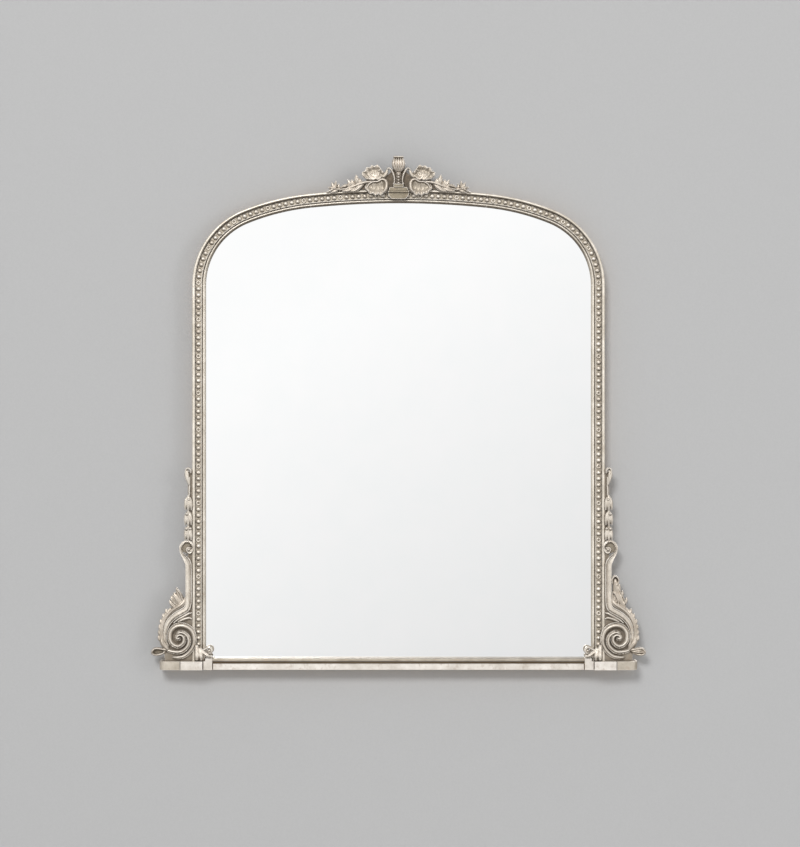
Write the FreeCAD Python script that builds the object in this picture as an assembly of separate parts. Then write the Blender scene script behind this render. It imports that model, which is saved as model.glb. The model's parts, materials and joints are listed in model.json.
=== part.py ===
# Arched overmantel mirror: silvered glass in a slender beaded frame with a foliage crest,
# scroll brackets at the foot and a stepped plinth.  Millimetres, +Z up, +Y towards the wall.
# The origin is the middle of the lower back edge, where a shelf and the wall would meet.
# Every piece is placed by its distance out from the wall, so the front of the mirror faces -Y.
import FreeCAD, Part
import math
import os

Vector = FreeCAD.Vector

# Sight opening and arch: three tangent arcs on each side of the apex
sight_half_width = 444.0
sight_apex = 1074.0
crown_radius = 2000.0
shoulder_radius = 530.0
crown_angle = 5.8
shoulder_angle = 22.0

# Layers, counted out from the wall
standoff = 10.0
carcass_depth = 18.0
glass_thickness = 4.0
backing_thickness = 3.0

# Carcass of timber behind the moulding
carcass_inset = 2.0
glass_cover = 6.0
glass_clearance = 2.0
bottom_rail_height = 17.0
dowel_radius = 4.0
dowel_length = 30.0
hole_clearance = 0.1
seat_gap = 0.25

# Moulding section
moulding_width = 31.0
sight_edge_height = 2.0
sight_slope_width = 2.5
inner_shoulder_height = 6.0
inner_bead_radius = 2.4
quirk_width = 2.2
quirk_floor_height = 4.0
bed_height = 8.0
outer_rim_radius = 3.5
outer_rim_height = 13.0

# Beading: round beads on a strip, with a small rosette after every fifth bead
strip_width = 12.4
strip_thickness = 1.2
bead_radius = 5.6
bead_pitch = 14.1
beads_between_rosettes = 5
rosette_radius = 3.9
rosette_ring_radius = 2.2
first_bead_height = 58.0

# Plinth
plinth_overhang = 74.0
plinth_core_depth = 16.0
block_height = 19.5
sight_bottom = 26.0
inner_block_reach = 16.0
inner_block_width = 20.0
inner_block_projection = 10.0
middle_block_width = 50.0
middle_block_projection = 18.0
end_block_projection = 14.0
end_block_wall = 4.0
end_block_corner_radius = 13.0
block_gap = 2.0
fascia_height = 14.5
fascia_projection = 6.0
fascia_chamfer = 1.5
cap_nosing_depth = 20.0

# Scroll bracket at each foot, measured from the stile's outer edge and the plinth core's top
bracket_width = 94.0
bracket_height = 190.0
bracket_back = 12.0
bracket_front = 40.0
leaf_relief = 15.0
husk_top_height = 447.0
husk_board_width = 10.0
husk_count = 3
husk_width = 18.0
husk_height = 36.0
husk_pitch = 34.5
husk_relief = 10.0
husk_stem_height = 66.0
husk_stem_width = 3.6
husk_stem_base = 3.5
husk_stem_offset = 5.5
husk_curl_radius = 5.0
small_volute_offset = 11.5
small_volute_height = 264.0
small_volute_radius = 14.0
small_volute_depth = 5.5
bracket_dowel_shares = [0.30, 0.75]

# Crest on the crown of the arch
crest_half_width = 163.0
crest_height = 76.0
crest_drop = 23.0
crest_board_back = 12.0
crest_relief = 14.0
crest_board_clearance = 0.7
crest_base_half_width = 24.0
crest_base_rise = 3.8
crest_base_thickness = 6.0
crest_bar_drop = 7.0
crest_bar_width = 4.0
crest_column_half_width = 11.0
crest_apron_share = 0.60
crest_neck_share = 0.82
crest_upper_share = 0.85
crest_dowel_share = 0.40
palmette_bead_radius = 3.3
palmette_bead_count = 4
palmette_cap_height = 6.5
palmette_cap_half_width = 11.0

# Hanging and glazing hardware
hanger_height = 760.0
hanger_strap_width = 14.0
hanger_strap_length = 44.0
hanger_strap_thickness = 1.5
ring_wire_radius = 1.75
ring_clearance = 0.3
ring_half_width = 13.0
ring_corner_radius = 4.0
ring_reach = 24.0
hanger_screw_inset = 10.0
hanger_screw_spacing = 24.0
screw_radius = 1.75
screw_length = 12.0
screw_head_radius = 3.4
screw_head_height = 1.8
clip_width = 14.0
clip_thickness = 1.2
clip_toe_length = 9.0
clip_foot_length = 13.0
clip_screw_inset = 7.0
bumper_radius = 9.0
bumper_taper = 1.5
packer_length = 40.0
batten_half_length = 400.0
batten_screw_length = 22.0
screw_head_sink = 3.0
clip_stile_shares = [0.12, 0.45, 0.80]
batten_screw_shares = [-0.85, 0.0, 0.85]
overrun = 1.0

# Leaves as lobes of (root, bend, tip, width), in shares of the width and height of what they decorate
crest_lower_leaf_shares = [
    ((0.221, 0.184), (0.207, 0.046), (0.193, -0.092), 0.077),
    ((0.258, 0.191), (0.255, 0.013), (0.252, -0.164), 0.080),
    ((0.301, 0.184), (0.313, 0.009), (0.325, -0.167), 0.083),
    ((0.344, 0.171), (0.371, 0.024), (0.399, -0.124), 0.080),
    ((0.380, 0.151), (0.413, 0.072), (0.445, -0.007), 0.064),
    ((0.454, 0.013), (0.405, 0.250), (0.270, 0.224), 0.037),
    ((0.294, 0.224), (0.147, 0.382), (0.172, -0.079), 0.043),
    ((0.307, 0.200), (0.313, 0.040), (0.318, -0.125), 0.232),
]
crest_upper_leaf_shares = [
    ((0.344, 0.329), (0.423, 0.405), (0.503, 0.480), 0.089),
    ((0.344, 0.329), (0.394, 0.474), (0.445, 0.618), 0.089),
    ((0.344, 0.329), (0.359, 0.503), (0.374, 0.678), 0.089),
    ((0.344, 0.329), (0.322, 0.513), (0.301, 0.697), 0.089),
    ((0.344, 0.329), (0.293, 0.434), (0.242, 0.539), 0.089),
    ((0.258, 0.342), (0.190, 0.395), (0.156, 0.579), 0.052),
    ((0.347, 0.330), (0.352, 0.460), (0.356, 0.620), 0.240),
]
husk_leaf_shares = [
    ((0.625, -0.190), (0.740, -0.560), (0.350, -1.150), 0.580),
]
husk_shares = [
    ((0.500, 0.000), (0.111, -0.400), (0.222, -0.860), 0.500),
    ((0.500, 0.000), (0.500, -0.480), (0.528, -1.000), 0.556),
    ((0.500, 0.000), (0.944, -0.400), (0.833, -0.860), 0.500),
]

# Carved strokes as rows of (across, up, half width, height), in shares of the carving's width, height,
# width and relief
strap_shares = [
    (0.037, 1.382, 0.017, 0.900), (0.085, 1.387, 0.021, 0.880), (0.120, 1.368, 0.023, 0.853),
    (0.102, 1.342, 0.024, 0.827), (0.051, 1.331, 0.026, 0.800), (-0.005, 1.355, 0.026, 0.773),
    (-0.027, 1.397, 0.027, 0.753), (0.003, 1.437, 0.027, 0.733), (0.064, 1.459, 0.028, 0.733),
    (0.144, 1.463, 0.028, 0.733), (0.213, 1.447, 0.029, 0.733), (0.266, 1.416, 0.030, 0.733),
    (0.280, 1.372, 0.031, 0.733), (0.259, 1.324, 0.033, 0.700), (0.202, 1.282, 0.049, 0.680),
    (0.138, 1.242, 0.072, 0.667), (0.094, 1.192, 0.079, 0.653), (0.084, 1.121, 0.078, 0.653),
    (0.084, 0.911, 0.078, 0.653), (0.084, 0.779, 0.078, 0.653), (0.094, 0.700, 0.079, 0.667),
    (0.138, 0.645, 0.081, 0.700), (0.245, 0.611, 0.081, 0.700), (0.351, 0.582, 0.080, 0.700),
    (0.457, 0.545, 0.074, 0.700), (0.553, 0.495, 0.069, 0.680), (0.617, 0.437, 0.059, 0.653),
    (0.649, 0.374, 0.048, 0.613), (0.660, 0.311, 0.043, 0.573), (0.644, 0.247, 0.037, 0.533),
    (0.601, 0.195, 0.032, 0.500),
]
outer_arm_shares = [
    (0.473, 0.057, 0.013, 0.300), (0.431, 0.055, 0.028, 0.467), (0.340, 0.055, 0.034, 0.533),
    (0.230, 0.063, 0.038, 0.567), (0.130, 0.089, 0.040, 0.600), (0.052, 0.124, 0.043, 0.633),
    (-0.005, 0.161, 0.045, 0.667), (-0.050, 0.211, 0.045, 0.700), (-0.066, 0.268, 0.046, 0.733),
    (-0.053, 0.326, 0.049, 0.767), (-0.005, 0.382, 0.053, 0.800), (0.080, 0.421, 0.057, 0.833),
    (0.186, 0.445, 0.060, 0.833), (0.298, 0.449, 0.060, 0.833), (0.404, 0.434, 0.057, 0.833),
    (0.489, 0.400, 0.055, 0.833), (0.540, 0.353, 0.052, 0.833), (0.549, 0.303, 0.049, 0.833),
    (0.528, 0.253, 0.047, 0.833), (0.472, 0.216, 0.045, 0.853), (0.404, 0.196, 0.044, 0.867),
    (0.335, 0.191, 0.043, 0.867), (0.264, 0.205, 0.043, 0.887), (0.202, 0.237, 0.043, 0.913),
    (0.181, 0.276, 0.041, 0.933), (0.205, 0.312, 0.040, 0.953), (0.261, 0.332, 0.039, 0.973),
    (0.328, 0.329, 0.038, 1.000), (0.374, 0.305, 0.036, 1.020), (0.356, 0.280, 0.034, 1.040),
    (0.314, 0.281, 0.032, 1.067),
]
inner_arm_shares = [
    (0.574, 0.138, 0.036, 0.633), (0.474, 0.125, 0.041, 0.700), (0.351, 0.119, 0.043, 0.733),
    (0.252, 0.127, 0.043, 0.753), (0.154, 0.161, 0.043, 0.773), (0.088, 0.204, 0.043, 0.800),
    (0.066, 0.254, 0.043, 0.820), (0.087, 0.303, 0.041, 0.840), (0.141, 0.338, 0.040, 0.867),
    (0.207, 0.358, 0.038, 0.887), (0.277, 0.365, 0.036, 0.907), (0.340, 0.355, 0.032, 0.920),
    (0.376, 0.345, 0.014, 0.633),
]
acanthus_rib_shares = [
    (0.170, 0.774, 0.032, 0.600), (0.191, 0.737, 0.057, 0.800), (0.245, 0.703, 0.068, 0.933),
    (0.319, 0.676, 0.066, 0.933), (0.404, 0.650, 0.062, 0.867), (0.489, 0.618, 0.055, 0.800),
    (0.564, 0.582, 0.049, 0.733), (0.633, 0.534, 0.043, 0.667), (0.686, 0.476, 0.038, 0.620),
    (0.719, 0.413, 0.036, 0.600), (0.730, 0.347, 0.036, 0.600), (0.726, 0.300, 0.040, 0.667),
    (0.729, 0.258, 0.057, 0.833), (0.702, 0.221, 0.066, 0.900), (0.649, 0.187, 0.060, 0.833),
    (0.590, 0.158, 0.036, 0.733),
]
acanthus_lobe_shares = [
    [(0.255, 0.700, 0.053, 0.567), (0.319, 0.737, 0.101, 0.613), (0.378, 0.771, 0.112, 0.613),
     (0.415, 0.797, 0.080, 0.573), (0.436, 0.816, 0.032, 0.500)],
    [(0.234, 0.705, 0.043, 0.733), (0.262, 0.753, 0.060, 0.800), (0.298, 0.805, 0.062, 0.893),
     (0.346, 0.853, 0.047, 0.933), (0.383, 0.895, 0.019, 0.833)],
    [(0.277, 0.700, 0.043, 0.733), (0.335, 0.747, 0.060, 0.800), (0.388, 0.795, 0.055, 0.800),
     (0.431, 0.839, 0.019, 0.700)],
    [(0.330, 0.684, 0.043, 0.700), (0.404, 0.721, 0.060, 0.767), (0.463, 0.758, 0.053, 0.747),
     (0.505, 0.795, 0.019, 0.653)],
    [(0.394, 0.663, 0.043, 0.667), (0.463, 0.689, 0.055, 0.733), (0.511, 0.718, 0.047, 0.720),
     (0.543, 0.747, 0.018, 0.613)],
    [(0.521, 0.595, 0.053, 0.667), (0.580, 0.603, 0.061, 0.767), (0.617, 0.616, 0.049, 0.773),
     (0.638, 0.639, 0.018, 0.653)],
    [(0.601, 0.534, 0.051, 0.633), (0.660, 0.542, 0.059, 0.707), (0.694, 0.557, 0.046, 0.707),
     (0.711, 0.581, 0.017, 0.600)],
    [(0.668, 0.468, 0.048, 0.600), (0.723, 0.475, 0.056, 0.667), (0.755, 0.489, 0.043, 0.667),
     (0.770, 0.514, 0.016, 0.573)],
    [(0.706, 0.403, 0.045, 0.567), (0.755, 0.408, 0.054, 0.640), (0.785, 0.423, 0.042, 0.640),
     (0.798, 0.447, 0.016, 0.567)],
    [(0.723, 0.337, 0.045, 0.567), (0.770, 0.342, 0.053, 0.640), (0.798, 0.358, 0.041, 0.640),
     (0.811, 0.382, 0.016, 0.567)],
    [(0.728, 0.271, 0.059, 0.700), (0.779, 0.276, 0.053, 0.680), (0.806, 0.293, 0.041, 0.667),
     (0.819, 0.318, 0.016, 0.567)],
]
acanthus_tail_shares = [
    [(0.606, 0.148, 0.036, 0.600), (0.686, 0.153, 0.034, 0.667), (0.766, 0.161, 0.030, 0.733),
     (0.853, 0.166, 0.029, 0.800), (0.926, 0.159, 0.029, 0.867), (0.971, 0.133, 0.028, 0.867),
     (0.972, 0.108, 0.021, 0.733)],
    [(0.665, 0.134, 0.023, 0.467), (0.702, 0.112, 0.023, 0.500), (0.766, 0.097, 0.026, 0.533),
     (0.840, 0.088, 0.028, 0.600), (0.915, 0.089, 0.028, 0.667), (0.979, 0.108, 0.023, 0.733)],
    [(0.670, 0.132, 0.032, 0.200), (0.798, 0.132, 0.059, 0.200), (0.904, 0.126, 0.059, 0.200),
     (0.957, 0.121, 0.043, 0.267)],
]
foot_leaf_shares = [
    [(-0.117, 0.189, 0.032, 0.533), (-0.128, 0.132, 0.043, 0.733), (-0.130, 0.079, 0.047, 0.867),
     (-0.128, 0.039, 0.036, 0.800)],
    [(-0.202, 0.158, 0.032, 0.533), (-0.217, 0.111, 0.040, 0.733), (-0.228, 0.068, 0.040, 0.833),
     (-0.230, 0.034, 0.028, 0.733)],
    [(-0.128, 0.158, 0.032, 0.600), (-0.245, 0.137, 0.038, 0.600), (-0.330, 0.105, 0.038, 0.667),
     (-0.404, 0.082, 0.036, 0.733), (-0.463, 0.071, 0.023, 0.600)],
    [(-0.245, 0.137, 0.032, 0.533), (-0.324, 0.158, 0.030, 0.667), (-0.399, 0.177, 0.028, 0.733),
     (-0.463, 0.171, 0.028, 0.767), (-0.485, 0.141, 0.027, 0.767), (-0.463, 0.114, 0.026, 0.733),
     (-0.421, 0.114, 0.023, 0.700)],
]
crest_scroll_shares = [
    (0.156, 0.605, 0.012, 0.643), (0.131, 0.622, 0.013, 0.714), (0.097, 0.555, 0.013, 0.786),
    (0.074, 0.451, 0.013, 0.821), (0.062, 0.362, 0.013, 0.821), (0.056, 0.263, 0.013, 0.786),
    (0.060, 0.184, 0.013, 0.750), (0.067, 0.155, 0.012, 0.714),
]
crest_spray_shares = [
    [(0.380, 0.217, 0.016, 0.571), (0.460, 0.201, 0.018, 0.679), (0.515, 0.168, 0.020, 0.714),
     (0.564, 0.132, 0.020, 0.714), (0.613, 0.092, 0.020, 0.679), (0.675, 0.046, 0.018, 0.643),
     (0.748, 0.004, 0.015, 0.607), (0.822, -0.018, 0.015, 0.607), (0.896, -0.007, 0.016, 0.643),
     (0.957, -0.046, 0.013, 0.643), (1.012, -0.099, 0.008, 0.571)],
    [(0.571, 0.105, 0.025, 0.571), (0.580, 0.211, 0.037, 0.786), (0.591, 0.309, 0.027, 0.786),
     (0.597, 0.414, 0.009, 0.643)],
    [(0.540, 0.145, 0.022, 0.571), (0.537, 0.217, 0.026, 0.714), (0.543, 0.289, 0.010, 0.607)],
    [(0.638, 0.066, 0.021, 0.571), (0.684, 0.164, 0.025, 0.714), (0.712, 0.263, 0.009, 0.607)],
    [(0.620, 0.092, 0.018, 0.571), (0.647, 0.184, 0.022, 0.679), (0.656, 0.270, 0.009, 0.571)],
    [(0.675, 0.053, 0.018, 0.571), (0.718, 0.100, 0.021, 0.750), (0.764, 0.084, 0.020, 0.786),
     (0.813, 0.034, 0.009, 0.643)],
    [(0.632, 0.053, 0.021, 0.571), (0.687, -0.024, 0.023, 0.679), (0.736, -0.055, 0.020, 0.643),
     (0.785, -0.061, 0.009, 0.571)],
    [(0.503, 0.164, 0.021, 0.571), (0.564, 0.039, 0.028, 0.679), (0.620, -0.039, 0.026, 0.679),
     (0.669, -0.072, 0.011, 0.571)],
    [(0.890, 0.000, 0.018, 0.643), (0.920, 0.092, 0.021, 0.750), (0.939, 0.184, 0.009, 0.607)],
    [(0.890, 0.000, 0.018, 0.643), (0.887, 0.112, 0.021, 0.750), (0.882, 0.230, 0.009, 0.607)],
    [(0.896, -0.007, 0.018, 0.643), (0.939, 0.026, 0.020, 0.750), (0.988, 0.039, 0.009, 0.607)],
    [(0.828, -0.018, 0.016, 0.571), (0.844, 0.059, 0.018, 0.679), (0.838, 0.145, 0.008, 0.571)],
    [(0.859, -0.013, 0.018, 0.571), (0.902, -0.071, 0.020, 0.679), (0.951, -0.111, 0.010, 0.571)],
]
crest_bud_shares = [
    [(0.000, 0.539, 0.016, 0.643), (0.000, 0.625, 0.020, 0.893), (0.000, 0.737, 0.023, 1.071),
     (0.000, 0.842, 0.021, 1.000), (0.000, 0.925, 0.016, 0.786)],
    [(0.012, 0.539, 0.016, 0.643), (0.028, 0.625, 0.020, 0.893), (0.036, 0.737, 0.023, 1.071),
     (0.033, 0.842, 0.021, 1.000), (0.028, 0.925, 0.016, 0.786)],
    [(0.025, 0.539, 0.016, 0.643), (0.056, 0.625, 0.020, 0.893), (0.071, 0.737, 0.023, 1.071),
     (0.065, 0.842, 0.021, 1.000), (0.056, 0.925, 0.016, 0.786)],
]

# Outlines of the boards behind the carving, in shares of its width and height
crest_board_shares = [
    (0.860, 0.030), (0.700, 0.070), (0.600, 0.130), (0.500, 0.170), (0.440, 0.300), (0.400, 0.480),
    (0.300, 0.520), (0.230, 0.440), (0.160, 0.420), (0.090, 0.550), (0.050, 0.800),
]
bracket_board_shares = [
    (0.660, 0.000), (0.690, 0.130), (0.720, 0.220), (0.735, 0.330), (0.720, 0.450), (0.660, 0.550),
    (0.550, 0.630), (0.400, 0.700), (0.300, 0.780), (0.260, 0.780), (0.220, 0.720),
]

# Section of a lobe along its length: place, width, height
lobe_shares = [(0.0, 0.60, 0.55), (0.3, 1.0, 0.95), (0.6, 0.95, 1.0), (0.85, 0.62, 0.75), (1.0, 0.16, 0.30)]
lobe_step_share = 0.04

# Sections across a stroke: the crowned one, and the strap's with its raised edges
crown_edge_share = 0.30
crown_round_share = 0.62
crown_round_height_share = 0.88
end_reach_share = 0.75
end_width_share = 0.40
end_height_share = 0.60
strap_section_shares = [
    (-1.00, 0.00), (-1.00, 0.78), (-0.82, 0.98), (-0.62, 0.70), (-0.44, 0.76), (-0.26, 1.00), (-0.08, 0.78),
    (0.66, 0.76), (0.84, 0.92), (1.00, 0.76), (1.00, 0.00),
]

# Derived planes and edges
carcass_front = standoff + carcass_depth
moulding_crest = carcass_front + outer_rim_height + outer_rim_radius
core_front = carcass_front + plinth_core_depth
stile_outer = sight_half_width + moulding_width
carcass_outer = stile_outer - carcass_inset
glass_half_width = sight_half_width + glass_cover
carcass_inner = glass_half_width + glass_clearance
overlay_back = moulding_crest + seat_gap
plinth_half_width = stile_outer + plinth_overhang


forward = Vector(0, -1, 0)


def at(x, out, z):
    """A point given by its distance out from the wall."""
    return Vector(x, -out, z)


def polar(centre, radius, angle):
    """The (x, z) point at an angle in degrees, anticlockwise from +X as seen from the front."""
    a = math.radians(angle)
    return (centre[0] + radius * math.cos(a), centre[1] + radius * math.sin(a))


def outline(start, steps, place):
    """A face bounded by lines and arcs.  A step is a point for a line, or (through, end) for an arc;
    place turns a 2-D point into a 3-D one, and the last step returns to the start by a line."""
    edges = []
    here = start
    for step in list(steps) + [start]:
        is_arc = isinstance(step[0], tuple)
        end = step[1] if is_arc else step
        if math.dist(here, end) < Part.Precision.confusion():
            continue
        if is_arc:
            edges.append(Part.Arc(place(here), place(step[0]), place(end)).toShape())
        else:
            edges.append(Part.makeLine(place(here), place(end)))
        here = end
    return Part.Face(Part.Wire(edges))


def plate(start, steps, back, front):
    """An upright plate with an (x, z) outline, between two distances out from the wall."""
    face = outline(start, steps, lambda p: at(p[0], back, p[1]))
    return face.extrude(Vector(0, back - front, 0))


def block(x0, x1, back, front, z0, z1):
    """A rectangular block between two planes on each axis."""
    return Part.makeBox(x1 - x0, front - back, z1 - z0, at(x0, front, z0))


def mirrored(shape):
    """The same piece on the other side of the mirror's middle."""
    return shape.mirror(Vector(0, 0, 0), Vector(1, 0, 0))


def fused(shapes):
    """One solid from touching or crossing solids."""
    shapes = list(shapes)
    return shapes[0].multiFuse(shapes[1:]).removeSplitter()


def rod(start, end, radius):
    """A round bar between two points."""
    return Part.makeCylinder(radius, (end - start).Length, start, end - start)


# Arch geometry

def arch_arcs():
    """(centre, radius, first angle, last angle) of the right half of the sight edge, from the spring
    line up; angles are from the horizontal, and the last arc ends at the apex."""
    crown = math.radians(crown_angle)
    shoulder = math.radians(shoulder_angle)
    crown_centre = (0.0, sight_apex - crown_radius)
    step = crown_radius - shoulder_radius
    shoulder_centre = (step * math.sin(crown), crown_centre[1] + step * math.cos(crown))
    reach = shoulder_centre[0] + shoulder_radius * math.sin(shoulder)
    haunch_radius = (sight_half_width - reach) / (1 - math.sin(shoulder))
    step = shoulder_radius - haunch_radius
    haunch_centre = (shoulder_centre[0] + step * math.sin(shoulder),
                     shoulder_centre[1] + step * math.cos(shoulder))
    quarter = 90.0
    return [(haunch_centre, haunch_radius, 0.0, quarter - shoulder_angle),
            (shoulder_centre, shoulder_radius, quarter - shoulder_angle, quarter - crown_angle),
            (crown_centre, crown_radius, quarter - crown_angle, quarter)]


haunch_arc, shoulder_arc, crown_arc = arch_arcs()
spring_height = haunch_arc[0][1]


def arch_plate(offset, bottom, back, front):
    """A plate with the sight opening's outline, moved outwards by an offset."""
    steps = []
    for centre, radius, first, last in (haunch_arc, shoulder_arc, crown_arc):
        middle = (first + last) / 2
        steps.append((polar(centre, radius + offset, middle), polar(centre, radius + offset, last)))
    right = [(sight_half_width + offset, bottom), (sight_half_width + offset, spring_height)]
    ends = [right[1]] + [end for _, end in steps]
    left = []
    for (through, _), end in reversed(list(zip(steps, ends[:-1]))):
        left.append(((-through[0], through[1]), (-end[0], end[1])))
    left.append((-right[0][0], bottom))
    return plate(right[0], [right[1]] + steps + left, back, front)


def swept_arc(section, arc, first=None, last=None):
    """A section, drawn as (distance outwards from the sight edge, distance out from the wall),
    carried round one arc of the arch."""
    centre, radius, arc_first, arc_last = arc
    first = arc_first if first is None else first
    last = arc_last if last is None else last
    face = section(centre[0] + radius, centre[1])
    axis = Vector(0, -1, 0)
    pivot = Vector(centre[0], 0, centre[1])
    face.rotate(pivot, axis, first)
    return face.revolve(pivot, axis, last - first)


def swept_stile(section, bottom):
    """The same section carried up the straight side to the spring line."""
    face = section(sight_half_width, bottom)
    return face.extrude(Vector(0, 0, spring_height - bottom))


def section_of(start, steps):
    """A section that swept_arc and swept_stile can place."""
    return lambda x, z: outline(start, steps, lambda p: at(x + p[0], p[1], z))


def rectangle_section(inner, outer, back, front):
    return section_of((inner, back), [(outer, back), (outer, front), (inner, front)])


def moulding_section():
    """Sight edge, inner bead, quirk, bed for the beading and outer rim."""
    bead_start = sight_slope_width
    bead_end = bead_start + 2 * inner_bead_radius
    bed_start = bead_end + quirk_width
    rim_start = moulding_width - 2 * outer_rim_radius
    points = [(0.0, sight_edge_height), (bead_start, inner_shoulder_height),
              ((bead_start + inner_bead_radius, inner_shoulder_height + inner_bead_radius),
               (bead_end, inner_shoulder_height)),
              (bead_end, quirk_floor_height), (bed_start, quirk_floor_height), (bed_start, bed_height),
              (rim_start, bed_height), (rim_start, outer_rim_height),
              ((rim_start + outer_rim_radius, outer_rim_height + outer_rim_radius),
               (moulding_width, outer_rim_height)),
              (moulding_width, 0.0)]
    return section_of((0.0, carcass_front), [raised(p) for p in points])


def raised(step):
    """A profile step with its heights counted from the carcass front instead of the wall."""
    if isinstance(step[0], tuple):
        return tuple((u, carcass_front + h) for u, h in step)
    return (step[0], carcass_front + step[1])


def bed_middle():
    """Distance of the bead row from the sight edge."""
    bed_start = sight_slope_width + 2 * inner_bead_radius + quirk_width
    return (bed_start + moulding_width - 2 * outer_rim_radius) / 2


# Frame pieces

def carcass():
    """Stiles, haunches, crown and bottom rail of the timber frame, with their dowels."""
    section = rectangle_section(carcass_inner - sight_half_width, moulding_width - carcass_inset,
                                standoff, carcass_front)
    stile = block(carcass_inner, carcass_outer, standoff, carcass_front, 0.0, spring_height)
    haunch = fused([swept_arc(section, haunch_arc), swept_arc(section, shoulder_arc)])
    crown = swept_arc(section, crown_arc, crown_arc[2], 2 * crown_arc[3] - crown_arc[2])
    rail = block(-carcass_inner, carcass_inner, standoff, carcass_front, 0.0, bottom_rail_height)
    middle_out = standoff + carcass_depth / 2
    middle_offset = (carcass_inner + carcass_outer) / 2 - sight_half_width
    foot = at(carcass_inner, middle_out, bottom_rail_height / 2)
    spring = at(sight_half_width + middle_offset, middle_out, spring_height)
    centre, radius, first, _ = crown_arc
    x, z = polar(centre, radius + middle_offset, first)
    joint = at(x, middle_out, z)
    along = Vector(-math.sin(math.radians(first)), 0, math.cos(math.radians(first)))
    lines = [(foot, Vector(1, 0, 0)), (spring, Vector(0, 0, 1)), (joint, along)]
    dowels = joint_rods(lines, 0)
    dowels += [mirrored(dowel) for dowel in dowels]
    holes = joint_rods(lines, hole_clearance)
    holes += [mirrored(hole) for hole in holes]
    return {"stile": stile.cut(holes), "haunch": haunch.cut(holes), "crown": crown.cut(holes),
            "rail": rail.cut(holes), "dowels": dowels}


def moulding():
    """The moulded face of the frame in five lengths."""
    section = moulding_section()
    stile = swept_stile(section, bottom_rail_height)
    haunch = fused([swept_arc(section, haunch_arc), swept_arc(section, shoulder_arc)])
    crown = swept_arc(section, crown_arc, crown_arc[2], 2 * crown_arc[3] - crown_arc[2])
    return {"stile": stile, "haunch": haunch, "crown": crown}


def bead_places():
    """(x, z) of every bead on the right half, from the foot to the apex, at an even pitch."""
    offset = bed_middle()
    straight = spring_height - first_bead_height
    arcs = [(c, r + offset, a, b) for c, r, a, b in (haunch_arc, shoulder_arc, crown_arc)]
    lengths = [straight] + [r * math.radians(b - a) for _, r, a, b in arcs]
    count = round(sum(lengths) / bead_pitch)
    pitch = sum(lengths) / (count + 0.5)
    places = []
    for i in range(count + 1):
        s = i * pitch
        if s <= straight:
            places.append((sight_half_width + offset, first_bead_height + s))
            continue
        s -= straight
        for centre, radius, first, last in arcs:
            length = radius * math.radians(last - first)
            if s <= length:
                places.append(polar(centre, radius, first + math.degrees(s / radius)))
                break
            s -= length
    return places


def rosette(x, z, back):
    """A small ring of a flower, hollow in the middle."""
    inner = rosette_radius - rosette_ring_radius
    outer = rosette_radius + rosette_ring_radius
    face = outline((inner, 0.0), [((rosette_radius, rosette_ring_radius), (outer, 0.0))],
                   lambda p: at(x + p[0], back + p[1], z))
    return face.revolve(at(x, back, z), Vector(0, -1, 0), 360)


def beading():
    """One half of the beading: a strip in the moulding's bed with beads and rosettes on it."""
    bed = carcass_front + bed_height
    top = bed + strip_thickness
    offset = bed_middle()
    section = rectangle_section(offset - strip_width / 2, offset + strip_width / 2, bed, top)
    strip = [swept_stile(section, bottom_rail_height)]
    strip += [swept_arc(section, arc) for arc in (haunch_arc, shoulder_arc, crown_arc)]
    drops = []
    for i, (x, z) in enumerate(bead_places()):
        if i % (beads_between_rosettes + 1) == beads_between_rosettes:
            drops.append(rosette(x, z, top))
        else:
            drops.append(Part.makeSphere(bead_radius, at(x, top, z), Vector(0, -1, 0), 0, 90, 360))
    return fused(strip).multiFuse(drops)


def glazing():
    """Glass, backing board and the packers that keep the glass off the carcass."""
    glass_bottom = bottom_rail_height + glass_clearance
    glass_back = carcass_front - glass_thickness
    glass = arch_plate(glass_cover, glass_bottom, glass_back, carcass_front)
    backing = arch_plate(glass_cover, glass_bottom, glass_back - backing_thickness, glass_back)
    third = sight_half_width * 2 / 3
    packers = []
    for side in (-1, 1):
        x = side * third - packer_length / 2
        packers.append(block(x, x + packer_length, glass_back, carcass_front,
                             bottom_rail_height, glass_bottom))
    for share in (1 / 4, 3 / 4):
        z = share * spring_height
        packer = block(glass_half_width, carcass_inner, glass_back, carcass_front, z, z + packer_length)
        packers += [packer, mirrored(packer)]
    return {"glass": glass, "backing": backing, "packers": packers}


# Ornament tools

def crowned(place, across, half, high, back):
    """A section with a rounded crown, upright sides and a flat back."""
    def point(side, up):
        return at(place[0] + across[0] * side * half, back + up * high, place[1] + across[1] * side * half)

    corners = [point(-1, 0), point(-1, crown_edge_share), point(1, crown_edge_share), point(1, 0)]
    crown = Part.BSplineCurve()
    rounded = [point(-crown_round_share, crown_round_height_share), point(0, 1),
               point(crown_round_share, crown_round_height_share)]
    crown.interpolate([corners[1]] + rounded + [corners[2]])
    edges = [Part.makeLine(corners[0], corners[1]), crown.toShape(),
             Part.makeLine(corners[2], corners[3]), Part.makeLine(corners[3], corners[0])]
    return Part.Wire(edges)


def strapped(place, across, half, high, back):
    """A section with a sunk face between raised edges."""
    points = [at(place[0] + across[0] * side * half, back + up * high, place[1] + across[1] * side * half)
              for side, up in strap_section_shares]
    return Part.makePolygon(points + points[:1])


def stroke(rows, back, section):
    """A carved stroke with a flat back, lofted through a section at every row."""
    wires = []
    for i, (x, z, half, high) in enumerate(rows):
        before = rows[max(i - 1, 0)]
        after = rows[min(i + 1, len(rows) - 1)]
        length = math.dist(before[:2], after[:2])
        across = ((before[1] - after[1]) / length, (after[0] - before[0]) / length)
        wires.append(section((x, z), across, half, high, back))
    return Part.makeLoft(wires, True, False)


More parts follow.
